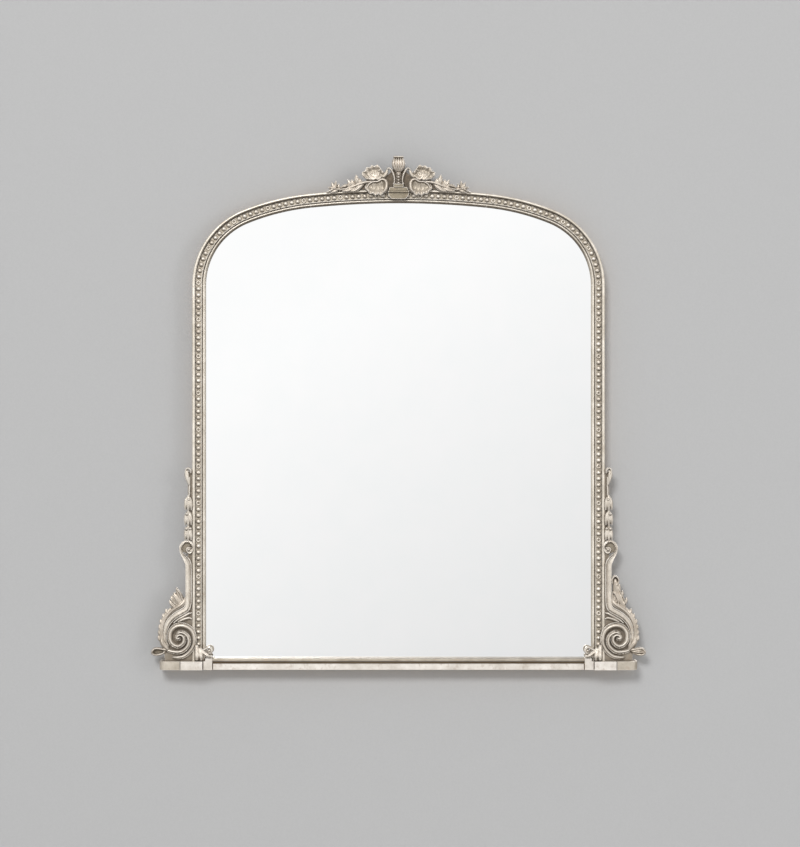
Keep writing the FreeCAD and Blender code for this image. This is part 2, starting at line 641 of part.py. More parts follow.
def rounded_end(last, before):
    """The row that rounds a stroke off beyond its last row."""
    reach = last[2] * end_reach_share / math.dist(last[:2], before[:2])
    x, z = (last[i] + (last[i] - before[i]) * reach for i in (0, 1))
    return (x, z, last[2] * end_width_share, last[3] * end_height_share)


def strokes(tables, origin, width, height, relief, back, section=crowned, free=False):
    """Strokes from their tables of shares, laid out from an origin; free ones have a rounded tip."""
    shapes = []
    for table in tables:
        rows = [(origin[0] + p * width, origin[1] + q * height, w * width, h * relief)
                for p, q, w, h in table]
        if free:
            rows.append(rounded_end(rows[-1], rows[-2]))
        shapes.append(stroke(rows, back, section))
    return shapes


def lobe(root, bend, tip, width, relief, back):
    """A crowned leaf lobe bent along a curve from its root to its tip."""
    rows = []
    for t, width_share, height_share in lobe_shares:
        a, b, c = (1 - t) ** 2, 2 * t * (1 - t), t ** 2
        x, z = (a * root[i] + b * bend[i] + c * tip[i] for i in (0, 1))
        rows.append((x, z, width * width_share / 2, relief * height_share))
    return stroke(rows, back, crowned)


def lobes(table, origin, width, height, relief, back):
    """The lobes of a leaf from their table of shares, each a little lower than the one before."""
    shapes = []
    for i, (root, bend, tip, lobe_width) in enumerate(table):
        points = [(origin[0] + p[0] * width, origin[1] + p[1] * height) for p in (root, bend, tip)]
        shapes.append(lobe(*points, lobe_width * width, relief * (1 - i * lobe_step_share), back))
    return shapes


def ridge_section(width, base, height):
    """An upright fillet with a rounded top, as a face at a place across X."""
    half = width / 2
    return lambda x, back, z: outline(
        (x - half, back), [(x - half, back + base), ((x, back + base + height), (x + half, back + base)),
                           (x + half, back)], lambda p: at(p[0], p[1], z))


def ridge_arc(centre, radius, first, last, section, back):
    """A fillet carried round a centre between two angles."""
    face = section(centre[0] + radius, back, centre[1])
    pivot = Vector(centre[0], 0, centre[1])
    axis = Vector(0, -1, 0)
    face.rotate(pivot, axis, first)
    return face.revolve(pivot, axis, last - first)


def button(x, z, back, rise, radius):
    """The eye of a volute: a short drum with a domed end."""
    drum = Part.makeCylinder(radius, rise, at(x, back, z), Vector(0, -1, 0))
    dome = Part.makeSphere(radius, at(x, back + rise, z), Vector(0, -1, 0), 0, 90, 360)
    return fused([drum, dome])


# Plinth

def plinth():
    """Core plank, fascia, cap and the blocks that step forward at the ends."""
    core_end = plinth_half_width - end_block_wall
    wing = carcass_outer + seat_gap
    plan = [(core_end, core_front), (core_end, standoff), (wing, standoff), (wing, carcass_front)]
    plan += [(-x, out) for x, out in reversed(plan)]
    core = outline(plan[0], plan[1:], lambda p: at(p[0], p[1], 0)).extrude(Vector(0, 0, bottom_rail_height))
    inner_start = sight_half_width - inner_block_reach
    middle_start = inner_start + inner_block_width + block_gap
    end_start = middle_start + middle_block_width + block_gap
    inner = fused([
        block(inner_start, inner_start + inner_block_width, core_front,
              core_front + inner_block_projection, 0, block_height),
        block(inner_start, sight_half_width - seat_gap, carcass_front,
              core_front + inner_block_projection, bottom_rail_height, sight_bottom)])
    middle = block(middle_start, middle_start + middle_block_width, core_front,
                   core_front + middle_block_projection, 0, block_height)
    front = core_front + end_block_projection
    corner = (plinth_half_width - end_block_corner_radius, front - end_block_corner_radius)
    end_plan = [(end_start, front), (corner[0], front),
                (polar(corner, end_block_corner_radius, 45), (plinth_half_width, corner[1])),
                (plinth_half_width, standoff), (core_end, standoff), (core_end, core_front)]
    end = outline((end_start, core_front), end_plan, lambda p: at(p[0], p[1], 0))
    end = end.extrude(Vector(0, 0, block_height))
    face = core_front + fascia_projection
    length = 2 * (inner_start - block_gap)
    profile = [(face, 0.0), (face, fascia_height - fascia_chamfer), (face - fascia_chamfer, fascia_height),
               (core_front, fascia_height)]
    fascia = outline((core_front, 0.0), profile, lambda p: at(-length / 2, p[0], p[1]))
    nosing = (sight_bottom - bottom_rail_height) / 2
    nose = carcass_front + cap_nosing_depth
    middle_z = bottom_rail_height + nosing
    profile = [(nose, bottom_rail_height), ((nose + nosing, middle_z), (nose, sight_bottom)),
               (carcass_front, sight_bottom)]
    cap_length = 2 * (inner_start - seat_gap)
    cap = outline((carcass_front, bottom_rail_height), profile, lambda p: at(-cap_length / 2, p[0], p[1]))
    return {"core": core, "inner": inner, "middle": middle, "end": end,
            "fascia": fascia.extrude(Vector(length, 0, 0)), "cap": cap.extrude(Vector(cap_length, 0, 0))}


# Scroll bracket, drawn for the right side

def bracket_point(p, q):
    """A place on the bracket from the stile's outer edge and the plinth core's top."""
    return (stile_outer + p, bottom_rail_height + q)


def bracket_board():
    """Board that fills the angle between stile and plinth and carries the carving."""
    x0, z0 = bracket_point(seat_gap, seat_gap)
    points = [bracket_point(p * bracket_width, seat_gap + q * bracket_height)
              for p, q in bracket_board_shares]
    x1, z1 = bracket_point(husk_board_width, husk_top_height - 2 * husk_curl_radius)
    steps = points + [(x1, points[-1][1]), (x1, z1), (x0, z1)]
    return plate((x0, z0), steps, bracket_back, bracket_front)


def over_stile(shape):
    """The carving cut back where it laps over the stile's moulding."""
    far = spring_height + husk_top_height
    return shape.cut(block(0, stile_outer + seat_gap, 0, overlay_back, -far, far))


def bracket():
    """Carved pieces of the bracket, each cut clear of the one it lies against."""
    place = (bracket_point(0, 0), bracket_width, bracket_height, leaf_relief)
    back = bracket_front
    eye = bracket_point(small_volute_offset, small_volute_height)
    disc = Part.makeCylinder(small_volute_radius, small_volute_depth, at(eye[0], back, eye[1]), forward)
    strap = over_stile(fused(strokes([strap_shares], *place, back, strapped) + [disc]))
    arms = strokes([outer_arm_shares, inner_arm_shares], *place, back)
    scroll = largest(over_stile(fused(arms)).cut(strap))
    tables = [acanthus_rib_shares] + acanthus_lobe_shares + acanthus_tail_shares
    acanthus = largest(fused(strokes(tables, *place, back, free=True)).cut([strap, scroll]))
    foot = largest(fused(strokes(foot_leaf_shares, *place, overlay_back)).cut(scroll))
    return {"strap": strap, "volute": scroll, "acanthus": acanthus, "foot_leaf": foot,
            "husk": largest(husk_drop().cut(strap))}


def largest(shape):
    """The biggest solid left after a cut."""
    return max(shape.Solids, key=lambda solid: solid.Volume)


def husk_drop():
    """A curled leaf on a stem, with overlapping husks below it."""
    start = bracket_point(seat_gap, husk_top_height)
    size = (husk_width, husk_height, husk_relief, bracket_front)
    pieces = lobes(husk_leaf_shares, start, *size)
    for i in range(husk_count):
        top = (start[0], start[1] - husk_stem_height - i * husk_pitch)
        pieces += lobes(husk_shares, top, *size)
    section = ridge_section(husk_stem_width, husk_stem_base, husk_stem_base)
    curl = (start[0] + husk_width / 2, start[1] - husk_curl_radius * 2)
    pieces.append(ridge_arc(curl, husk_curl_radius, -90, 180, section, bracket_front))
    head = curl[1] - husk_curl_radius
    foot = start[1] - husk_stem_height - husk_stem_offset
    stem = section(start[0] + husk_stem_offset, bracket_front, foot)
    pieces.append(stem.extrude(Vector(0, 0, head - foot)))
    return over_stile(fused(pieces))


# Crest

crest_seat = sight_apex + moulding_width


def crest_point(p, q):
    """A place on the crest in shares of its half width and height above the arch."""
    return (p * crest_half_width, crest_seat + q * crest_height)


def crest_board():
    """Board on top of the arch that carries the crest's carving."""
    centre, radius, _, _ = crown_arc
    seat = radius + moulding_width + crest_board_clearance
    right = [crest_point(p, q) for p, q in crest_board_shares]
    angle = math.degrees(math.acos(right[0][0] / seat))
    foot = polar(centre, seat, angle)
    steps = [(polar(centre, seat, 90), (-foot[0], foot[1]))]
    steps += [(-x, z) for x, z in right]
    steps += list(reversed(right))
    return plate(foot, steps, crest_board_back, overlay_back)


def crest_base():
    """Round-cornered apron with a bar and a small block for the bead column."""
    back = overlay_back
    half = crest_base_half_width
    low = crest_seat - crest_drop
    bar = crest_seat - crest_bar_drop
    top = crest_seat + crest_base_rise
    flat = half * crest_apron_share
    radius = ((half - flat) ** 2 + (bar - low) ** 2) / (half - flat) / 2
    turn = math.degrees(math.asin((bar - low) / radius))
    round_x, round_z = polar((half - radius, bar), radius, -turn / 2)
    shield = plate((half, bar), [((round_x, round_z), (flat, low)), (-flat, low),
                                 ((-round_x, round_z), (-half, bar)),
                                 (-half * crest_neck_share, top), (half * crest_neck_share, top)],
                   back, back + crest_base_thickness)
    section = ridge_section(crest_bar_width, crest_base_thickness, crest_bar_width)
    face = section(0.0, back, 0.0)
    face.rotate(Vector(0, 0, 0), Vector(0, 1, 0), 90)
    face.translate(Vector(-half, 0, bar))
    bars = face.extrude(Vector(2 * half, 0, 0))
    column = block(-crest_column_half_width, crest_column_half_width, back,
                   back + crest_base_thickness * 3 / 2, top, top + crest_base_rise * 2)
    return fused([shield, bars, column])


def palmette():
    """Bead column, fluted bud and cap."""
    back = overlay_back
    foot = crest_seat + crest_base_rise * 3
    bud_root = crest_point(0, crest_bud_shares[0][0][1])[1]
    spine_half = palmette_bead_radius / 2
    pieces = [block(-spine_half, spine_half, back, back + crest_base_thickness, foot, bud_root + spine_half)]
    step = (bud_root - foot) / palmette_bead_count
    for i in range(palmette_bead_count):
        z = foot + step * (i + 1 / 2)
        pieces.append(button(0.0, z, back, crest_base_thickness, palmette_bead_radius))
    right = strokes(crest_bud_shares, (0.0, crest_seat), crest_half_width, crest_height, crest_relief, back)
    top = crest_seat + crest_height
    cap_low = top - palmette_cap_height
    half = palmette_cap_half_width
    cap = plate((half, cap_low), [(half, cap_low + palmette_cap_height / 2),
                                  ((0.0, top), (-half, cap_low + palmette_cap_height / 2)), (-half, cap_low)],
                back, back + crest_base_thickness * 3 / 2)
    left = [mirrored(shape) for shape in right[1:]]
    return fused(pieces + right + left + [cap])


def crest():
    """All the crest's pieces; the leaves are cut clear of each other in the order they overlap."""
    back = overlay_back
    place = ((0.0, crest_seat), crest_half_width, crest_height)
    lower = fused(lobes(crest_lower_leaf_shares, *place, crest_relief, back))
    upper = fused(lobes(crest_upper_leaf_shares, *place, crest_relief * crest_upper_share, back))
    upper = largest(upper.cut(lower))
    spray = fused(strokes(crest_spray_shares, *place, crest_relief, back, free=True))
    spray = largest(spray.cut([lower, upper]))
    bud = palmette()
    base = crest_base()
    scroll = strokes([crest_scroll_shares], *place, crest_relief, back)[0]
    return {"board": crest_board(), "base": base, "palmette": bud, "lower": largest(lower.cut(base)),
            "upper": upper, "scroll": largest(scroll.cut([bud, base, lower, upper])), "spray": spray}


# Hardware

def screw(head_seat, direction, length):
    """A pan-head screw without its thread, driven along a direction from its head's seat."""
    shank = rod(head_seat, head_seat + direction * length, screw_radius)
    head = rod(head_seat - direction * screw_head_height, head_seat, screw_head_radius)
    return fused([head, shank])


def screw_hole(head_seat, direction, length):
    return rod(head_seat - direction * overrun, head_seat + direction * (length + overrun),
               screw_radius + hole_clearance)


hanger_middle = (carcass_inner + carcass_outer) / 2
knuckle_radius = ring_wire_radius + ring_clearance + hanger_strap_thickness
hinge_out = standoff - knuckle_radius


def hanger_strap():
    """Steel strap with a rolled loop at its upper end for the ring."""
    half = hanger_strap_width / 2
    x0 = hanger_middle - half
    flat = block(x0, x0 + hanger_strap_width, standoff - hanger_strap_thickness, standoff,
                 hanger_height - hanger_strap_length, hanger_height)
    start = at(x0, hinge_out, hanger_height)
    end = at(x0 + hanger_strap_width, hinge_out, hanger_height)
    loop = rod(start, end, knuckle_radius)
    bore = rod(start - Vector(overrun, 0, 0), end + Vector(overrun, 0, 0), ring_wire_radius + ring_clearance)
    strap = fused([flat, loop]).cut(bore)
    return strap.cut([screw_hole(p, forward, screw_length) for p in hanger_screw_seats()])


def hanger_screw_seats():
    """Where the screw heads of the right hanger bear on its strap."""
    out = standoff - hanger_strap_thickness
    low = hanger_height - hanger_strap_length + hanger_screw_inset - hanger_screw_spacing / 2
    return [at(hanger_middle, out, low + hanger_screw_spacing * i) for i in (1 / 2, 3 / 2)]


def hanger_ring():
    """D-shaped wire ring hanging from the loop: straight bar, two bent corners, round end."""
    z = hanger_height
    bend = ring_corner_radius
    half = ring_half_width
    pivot_z = z - ring_reach + half
    bar = rod(at(hanger_middle - half + bend, hinge_out, z), at(hanger_middle + half - bend, hinge_out, z),
              ring_wire_radius)
    pieces = [bar]
    for side in (-1, 1):
        x = hanger_middle + side * half
        pieces.append(rod(at(x, hinge_out, z - bend), at(x, hinge_out, pivot_z), ring_wire_radius))
        corner = at(hanger_middle + side * (half - bend), hinge_out, z - bend)
        tube = Part.makeTorus(bend, ring_wire_radius, corner, forward)
        reach = bend + ring_wire_radius + overrun
        x0 = min(corner.x, corner.x + side * reach)
        pieces.append(tube.common(block(x0, x0 + reach, hinge_out - reach, hinge_out + reach,
                                        corner.z, corner.z + reach)))
    tube = Part.makeTorus(half, ring_wire_radius, at(hanger_middle, hinge_out, pivot_z), forward)
    reach = half + ring_wire_radius + overrun
    pieces.append(tube.common(block(hanger_middle - reach, hanger_middle + reach, hinge_out - reach,
                                    hinge_out + reach, pivot_z - reach, pivot_z)))
    return fused(pieces)


def clip_frames():
    """(edge point, direction outwards) of each retainer clip at the carcass's inner edge, right half."""
    places = [((carcass_inner, share * spring_height), (1.0, 0.0)) for share in clip_stile_shares]
    for arc, share in ((haunch_arc, 1 / 2), (crown_arc, 0)):
        centre, radius, first, last = arc
        angle = first + share * (last - first) + crown_angle / 2 * (share == 0)
        offset = carcass_inner - sight_half_width
        places.append((polar(centre, radius + offset, angle), polar((0.0, 0.0), 1.0, angle)))
    places.append((((batten_half_length + carcass_inner) / 2, bottom_rail_height), (0.0, -1.0)))
    return places


def clip(place, outward):
    """Bent steel clip: foot on the carcass's back, toe on the backing board."""
    rest = carcass_front - glass_thickness - backing_thickness
    t = clip_thickness
    s = seat_gap
    profile = [(clip_foot_length, standoff), (clip_foot_length, standoff - t), (-s - t, standoff - t),
               (-s - t, rest - t), (-clip_toe_length, rest - t), (-clip_toe_length, rest), (-s, rest),
               (-s, standoff)]
    face = outline(profile[0], profile[1:], lambda p: at(p[0], p[1], -clip_width / 2))
    shape = face.extrude(Vector(0, 0, clip_width))
    angle = math.degrees(math.atan2(outward[1], outward[0]))
    shape.rotate(Vector(0, 0, 0), Vector(0, -1, 0), angle)
    shape.translate(Vector(place[0], 0, place[1]))
    return shape


def clip_screw_seats():
    """Where the right half's clip screws bear on their clips."""
    seats = []
    for place, outward in clip_frames():
        x = place[0] + outward[0] * clip_screw_inset
        z = place[1] + outward[1] * clip_screw_inset
        seats.append(at(x, standoff - clip_thickness, z))
    return seats


def both_sides(points):
    return points + [Vector(-p.x, p.y, p.z) for p in points]


def batten_screw_seats():
    return [at(share * batten_half_length, 0.0, bottom_rail_height / 2) for share in batten_screw_shares]


def batten():
    """Wall batten behind the bottom rail, with its screw heads sunk below the back face."""
    shape = block(-batten_half_length, batten_half_length, 0.0, standoff, 0.0, bottom_rail_height)
    holes = []
    for seat in batten_screw_seats():
        sunk = seat + forward * screw_head_sink
        holes.append(screw_hole(sunk, forward, batten_screw_length))
        holes.append(rod(seat - forward * overrun, sunk, screw_head_radius + hole_clearance))
    return shape.cut(holes)


def bumper():
    """Rubber bumper that keeps the top of the frame off the wall."""
    x, z = polar(shoulder_arc[0], shoulder_arc[1] + hanger_middle - sight_half_width,
                 (shoulder_arc[2] + shoulder_arc[3]) / 2)
    return Part.makeCone(bumper_radius, bumper_radius - bumper_taper, standoff, at(x, standoff, z),
                         Vector(0, 1, 0))


def dowel_lines():
    """(middle, direction) of the dowels that hold crest board and bracket boards, right half."""
    out = standoff + carcass_depth / 2
    centre, radius, _, _ = crown_arc
    x = crest_dowel_share * crest_half_width
    z = centre[1] + math.sqrt((radius + moulding_width) ** 2 - x ** 2) - carcass_inset / 2
    lines = [(at(x, out, z), Vector(0, 0, 1))]
    x = stile_outer - carcass_inset / 2
    for share in bracket_dowel_shares:
        z = bracket_point(0, share * bracket_height)[1]
        lines.append((at(x, out, z), Vector(1, 0, 0)))
    return lines


def joint_rods(lines, spare):
    """Rods along the dowel lines; spare widens them into their holes."""
    half = dowel_length / 2
    return [rod(p - d * half, p + d * half, dowel_radius + spare) for p, d in lines]


def write(name, *shapes):
    """One STEP file per node; a node may hold several separate solids."""
    shape = shapes[0] if len(shapes) == 1 else Part.makeCompound(list(shapes))
    if not shape.isValid():
        raise ValueError(name + " is not a valid shape")
    shape.exportStep(os.path.join("parts", name + ".step"))


def write_pair(name, shape):
    write(name + "_right", shape)
    write(name + "_left", mirrored(shape))


def main():
    os.makedirs("parts", exist_ok=True)
    timber = carcass()
    face = moulding()
    glaze = glazing()
    base = plinth()
    carving = bracket()
    top = crest()

    lines = dowel_lines()
    dowels = joint_rods(lines, 0)
    wells = joint_rods(lines, hole_clearance)
    wells += [mirrored(well) for well in wells]
    hanger_seats = hanger_screw_seats()
    clip_seats = both_sides(clip_screw_seats())
    rail_seats = [seat + forward * screw_head_sink for seat in batten_screw_seats()]
    holes = [screw_hole(p, forward, screw_length) for p in both_sides(hanger_seats) + clip_seats]
    holes += [screw_hole(p, forward, batten_screw_length) for p in rail_seats]
    holes += wells

    for part in ("stile", "haunch"):
        write_pair("carcass_" + part, timber[part].cut(holes))
        write_pair("moulding_" + part, face[part])
    write("carcass_crown", timber["crown"].cut(holes))
    write("carcass_bottom_rail", timber["rail"].cut(holes))
    write("dowels", *timber["dowels"], *dowels, *[mirrored(dowel) for dowel in dowels])
    write("moulding_crown", face["crown"])
    write_pair("beading", beading())
    write("mirror_glass", glaze["glass"])
    write("backing_board", glaze["backing"])
    write("glass_packers", *glaze["packers"])

    write("plinth_core", base["core"])
    write("plinth_fascia", base["fascia"])
    write("plinth_cap", base["cap"])
    for part in ("inner", "middle", "end"):
        write_pair("plinth_block_" + part, base[part])

    write_pair("bracket_board", bracket_board().cut(wells))
    write_pair("bracket_strap", carving["strap"])
    write_pair("bracket_volute", carving["volute"])
    write_pair("bracket_acanthus", carving["acanthus"])
    write_pair("bracket_foot_leaf", carving["foot_leaf"])
    write_pair("bracket_husk_drop", carving["husk"])

    write("crest_board", top["board"].cut(wells))
    write("crest_base", top["base"])
    write("crest_palmette", top["palmette"])
    for part in ("scroll", "lower", "upper", "spray"):
        write_pair("crest_" + part, top[part])

    write_pair("hanger_strap", hanger_strap())
    write_pair("hanger_ring", hanger_ring())
    clips = [clip(*frame).cut(holes) for frame in clip_frames()]
    write("retainer_clips", *clips, *[mirrored(c) for c in clips])
    seats = both_sides(hanger_seats) + clip_seats
    write("short_screws", *[screw(p, forward, screw_length) for p in seats])
    write("wall_batten", batten())
    write("batten_screws", *[screw(p, forward, batten_screw_length) for p in rail_seats])
    write("wall_bumpers", bumper(), mirrored(bumper()))


main()
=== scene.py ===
import json
import math

import bpy
import numpy as np
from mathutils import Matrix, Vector


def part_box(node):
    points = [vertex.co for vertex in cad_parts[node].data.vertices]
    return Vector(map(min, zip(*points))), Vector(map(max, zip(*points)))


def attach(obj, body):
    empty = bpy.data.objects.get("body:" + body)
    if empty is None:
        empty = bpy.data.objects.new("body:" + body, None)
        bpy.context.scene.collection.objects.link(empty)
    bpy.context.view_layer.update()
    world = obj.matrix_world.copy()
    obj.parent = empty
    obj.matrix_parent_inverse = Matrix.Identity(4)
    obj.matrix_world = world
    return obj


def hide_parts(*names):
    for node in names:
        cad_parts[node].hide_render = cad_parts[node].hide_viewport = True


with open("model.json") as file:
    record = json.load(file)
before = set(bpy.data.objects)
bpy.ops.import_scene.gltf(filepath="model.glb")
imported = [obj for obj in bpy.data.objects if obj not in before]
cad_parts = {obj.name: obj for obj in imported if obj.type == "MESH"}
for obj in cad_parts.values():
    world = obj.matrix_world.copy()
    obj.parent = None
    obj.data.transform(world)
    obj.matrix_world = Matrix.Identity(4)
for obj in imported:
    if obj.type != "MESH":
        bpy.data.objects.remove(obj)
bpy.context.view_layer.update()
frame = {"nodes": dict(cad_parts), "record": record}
nodes = frame["nodes"]
scene = bpy.context.scene
scene.view_settings.view_transform = "Standard"
MM = 0.001


# Places taken from the frame, in millimetres; depths are measured out from the wall

SKIN = 0.05
STILE_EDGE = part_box("moulding_stile_right")[1].x / MM
PLINTH_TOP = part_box("plinth_core")[1].z / MM
CROWN_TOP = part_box("moulding_crown")[1].z / MM
MOULDING_BACK = -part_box("moulding_stile_right")[1].y / MM
BEADING_BACK = -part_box("beading_left")[1].y / MM
CREST_FACE = -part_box("crest_board")[0].y / MM
BRACKET_FACE = -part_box("bracket_board_right")[0].y / MM
OVERLAY_SEAT = CREST_FACE + SKIN
BRACKET_SEAT = BRACKET_FACE + SKIN
BRACKET_ORIGIN = (STILE_EDGE, PLINTH_TOP)
CREST_ORIGIN = (0.0, CROWN_TOP)


# Materials

class Shader:
    """A principled material whose nodes are added one at a time."""

    def __init__(self, name):
        self.material = bpy.data.materials.new(name)
        self.material.use_nodes = True
        self.tree = self.material.node_tree
        self.bsdf = self.tree.nodes["Principled BSDF"]
        self.place = self.add("ShaderNodeTexCoord").outputs["Object"]

    def feed(self, socket, value):
        if isinstance(value, bpy.types.NodeSocket):
            self.tree.links.new(value, socket)
        else:
            socket.default_value = value

    def add(self, kind, inputs=None, **settings):
        node = self.tree.nodes.new(kind)
        for key, value in settings.items():
            setattr(node, key, value)
        for key, value in (inputs or {}).items():
            self.feed(node.inputs[key], value)
        return node

    def noise(self, scale, detail=4.0, rough=0.55, stretch=None):
        where = self.place
        if stretch:
            where = self.add("ShaderNodeMapping", {"Vector": where, "Scale": stretch}).outputs[0]
        return self.add("ShaderNodeTexNoise", {"Vector": where, "Scale": scale, "Detail": detail,
                                               "Roughness": rough}).outputs["Fac"]

    def voronoi(self, scale):
        node = self.add("ShaderNodeTexVoronoi", {"Vector": self.place, "Scale": scale})
        return node.outputs["Distance"]

    def span(self, value, low, high, to_low=0.0, to_high=1.0):
        return self.add("ShaderNodeMapRange", {"Value": value, "From Min": low, "From Max": high,
                                               "To Min": to_low, "To Max": to_high}).outputs[0]

    def math(self, operation, a, b):
        return self.add("ShaderNodeMath", {0: a, 1: b}, operation=operation).outputs[0]

    def mix(self, factor, a, b):
        return self.add("ShaderNodeMix", {0: factor, 6: a, 7: b}, data_type="RGBA").outputs[2]

    def bump(self, height, strength, distance, normal=None):
        inputs = {"Height": height, "Strength": strength, "Distance": distance}
        if normal is not None:
            inputs["Normal"] = normal
        return self.add("ShaderNodeBump", inputs).outputs[0]

    def set(self, **values):
        for key, value in values.items():
            self.feed(self.bsdf.inputs[key.replace("_", " ")], value)
        return self.material


def rgb(r, g, b):
    """A colour written as sRGB bytes, in linear light."""
    def linear(v):
        v /= 255
        return v / 12.92 if v <= 0.04045 else ((v + 0.055) / 1.055) ** 2.4
    return (linear(r), linear(g), linear(b), 1.0)


RUBBED, BOLE = rgb(244, 238, 230), rgb(168, 146, 126)
# The brown is real patina in the hollows and also painted shade there and on the undersides; the two bed
# colours are painted shade on the deepest faces, and the darker one also colours real specks
PATINA_AND_SHADE_BROWN, SPECK_AND_BED_SHADE, PALE_BED_SHADE = rgb(98, 87, 73), rgb(138, 128, 110), rgb(170, 160, 144)
EDGE_REACH = 1.2 * MM
GRAIN_DEPTH, DENT_DEPTH = 0.4 * MM, 1.2 * MM


def silver_leaf(name, bright, shade, reach=8.0, wear=0.6, bed=None, fine=False, bed_shade=SPECK_AND_BED_SHADE,
                under=(-0.8, -0.1)):
    """Antique silver leaf over warm bole: cloudy tone, rubbed edges, brown patina with painted shade in the
    hollows, painted shade on the undersides and on the deepest faces.
    Reach is how far around a hollow the patina and painted shade gather.
    A bed is the pair of depths over which painted shade darkens the faces toward the back, clearing toward
    the front.
    Fine is for dense meshes, whose corners tell the edges by themselves.
    The last argument is the downward tilt over which painted shade darkens the undersides."""
    s = Shader(name)
    cloud = s.noise(26.0, 5.0, 0.62)
    laps = s.noise(90.0, 4.0, 0.6)
    speck = s.noise(420.0, 3.0, 0.6)
    tone = s.mix(s.span(cloud, 0.36, 0.66), shade, bright)
    tone = s.mix(s.span(laps, 0.55, 0.75, 0.0, 0.5), tone, BOLE)
    tone = s.mix(s.span(speck, 0.62, 0.74, 0.0, 0.35), tone, SPECK_AND_BED_SHADE)
    if bed:
        # Painted shade: faces near the back of the part, deep in its recesses, darken toward the bed colour
        depth = s.add("ShaderNodeSeparateXYZ", {0: s.place}).outputs["Y"]
        tone = s.mix(s.span(depth, -bed[1] * MM, -bed[0] * MM), tone, bed_shade)
    # Hollows found by ambient occlusion darken toward the brown: partly real patina, partly painted shade
    hollow = s.add("ShaderNodeAmbientOcclusion", {"Distance": reach * MM}, samples=8).outputs["AO"]
    hollow_patina_and_shade = s.math("MULTIPLY", s.span(hollow, 0.30, 0.74, 1.0, 0.0), s.span(laps, 0.2, 0.7, 0.8, 1.1))
    tone = s.mix(hollow_patina_and_shade, tone, PATINA_AND_SHADE_BROWN)
    shape = s.add("ShaderNodeNewGeometry").outputs
    # Painted shade: faces that turn downward darken toward the brown
    facing = s.add("ShaderNodeSeparateXYZ", {0: shape["Normal"]}).outputs["Z"]
    tone = s.mix(s.span(facing, *under, 0.9, 0.0), tone, PATINA_AND_SHADE_BROWN)
    if fine:
        edge = s.span(shape["Pointiness"], 0.515, 0.585)
    else:
        inward = s.add("ShaderNodeAmbientOcclusion", {"Distance": EDGE_REACH}, samples=6, inside=True)
        edge = s.span(inward.outputs["AO"], 0.55, 0.9, 1.0, 0.0)
    tone = s.mix(s.math("MULTIPLY", edge, wear), tone, RUBBED)
    normal = s.bump(s.noise(900.0, 3.0, 0.6), 0.10, GRAIN_DEPTH)
    normal = s.bump(s.noise(160.0, 3.0, 0.5), 0.22, DENT_DEPTH, normal)
    rough = s.math("ADD", s.span(cloud, 0.3, 0.7, 0.38, 0.48), s.math("MULTIPLY", hollow_patina_and_shade, 0.25))
    shine = s.span(hollow_patina_and_shade, 0.0, 1.0, 0.6, 0.1)
    return s.set(Base_Color=tone, Roughness=rough, Metallic=shine, Normal=normal)


def timber(name, light, dark, along, scale=1.0):
    """Sawn softwood with its grain along one axis."""
    s = Shader(name)
    stretch = tuple(0.05 if i == along else 1.0 for i in range(3))
    grain = s.noise(120.0 * scale, 5.0, 0.6, stretch)
    fibre = s.noise(900.0 * scale, 3.0, 0.6, stretch)
    blotch = s.noise(6.0, 3.0, 0.5)
    tone = s.mix(s.span(grain, 0.35, 0.65), light, dark)
    tone = s.mix(s.span(blotch, 0.3, 0.8, 0.0, 0.35), tone, dark)
    normal = s.bump(fibre, 0.25, GRAIN_DEPTH)
    return s.set(Base_Color=tone, Roughness=s.span(grain, 0.3, 0.7, 0.62, 0.78), Normal=normal)


def board(name, light, dark):
    """Pressed board with a fine fibrous face."""
    s = Shader(name)
    fleck = s.noise(1400.0, 4.0, 0.65)
    cloud = s.noise(9.0, 4.0, 0.55)
    tone = s.mix(s.span(fleck, 0.35, 0.65), light, dark)
    tone = s.mix(s.span(cloud, 0.35, 0.7, 0.0, 0.3), tone, dark)
    normal = s.bump(fleck, 0.2, 0.3 * MM)
    return s.set(Base_Color=tone, Roughness=s.span(fleck, 0.3, 0.7, 0.55, 0.72), Normal=normal)


def cork(name):
    s = Shader(name)
    cell = s.voronoi(700.0)
    tone = s.mix(s.span(cell, 0.1, 0.7), rgb(120, 84, 52), rgb(188, 146, 100))
    return s.set(Base_Color=tone, Roughness=0.85, Normal=s.bump(cell, 0.4, 0.5 * MM))


def steel(name, light, dark):
    """Plated steel with a faint drawn finish and dull spots."""
    s = Shader(name)
    drawn = s.noise(1500.0, 3.0, 0.6, (1.0, 1.0, 0.08))
    spot = s.noise(260.0, 4.0, 0.6)
    tone = s.mix(s.span(spot, 0.4, 0.7), light, dark)
    rough = s.span(spot, 0.35, 0.7, 0.26, 0.44)
    return s.set(Base_Color=tone, Metallic=1.0, Roughness=rough, Normal=s.bump(drawn, 0.12, 0.2 * MM))


def rubber(name):
    s = Shader(name)
    pore = s.noise(1800.0, 3.0, 0.6)
    tone = s.mix(s.span(pore, 0.4, 0.7), rgb(28, 28, 29), rgb(48, 47, 46))
    rough = s.span(pore, 0.3, 0.7, 0.6, 0.8)
    return s.set(Base_Color=tone, Roughness=rough, Normal=s.bump(pore, 0.3, 0.2 * MM))


def mirror(name):
    """Silvered float glass: a clear reflection with a trace of haze."""
    s = Shader(name)
    haze = s.noise(14.0, 3.0, 0.5)
    tone = s.mix(s.span(haze, 0.3, 0.7), rgb(253, 253, 253), rgb(251, 252, 252))
    return s.set(Base_Color=tone, Metallic=1.0, Roughness=s.span(haze, 0.3, 0.8, 0.004, 0.01))


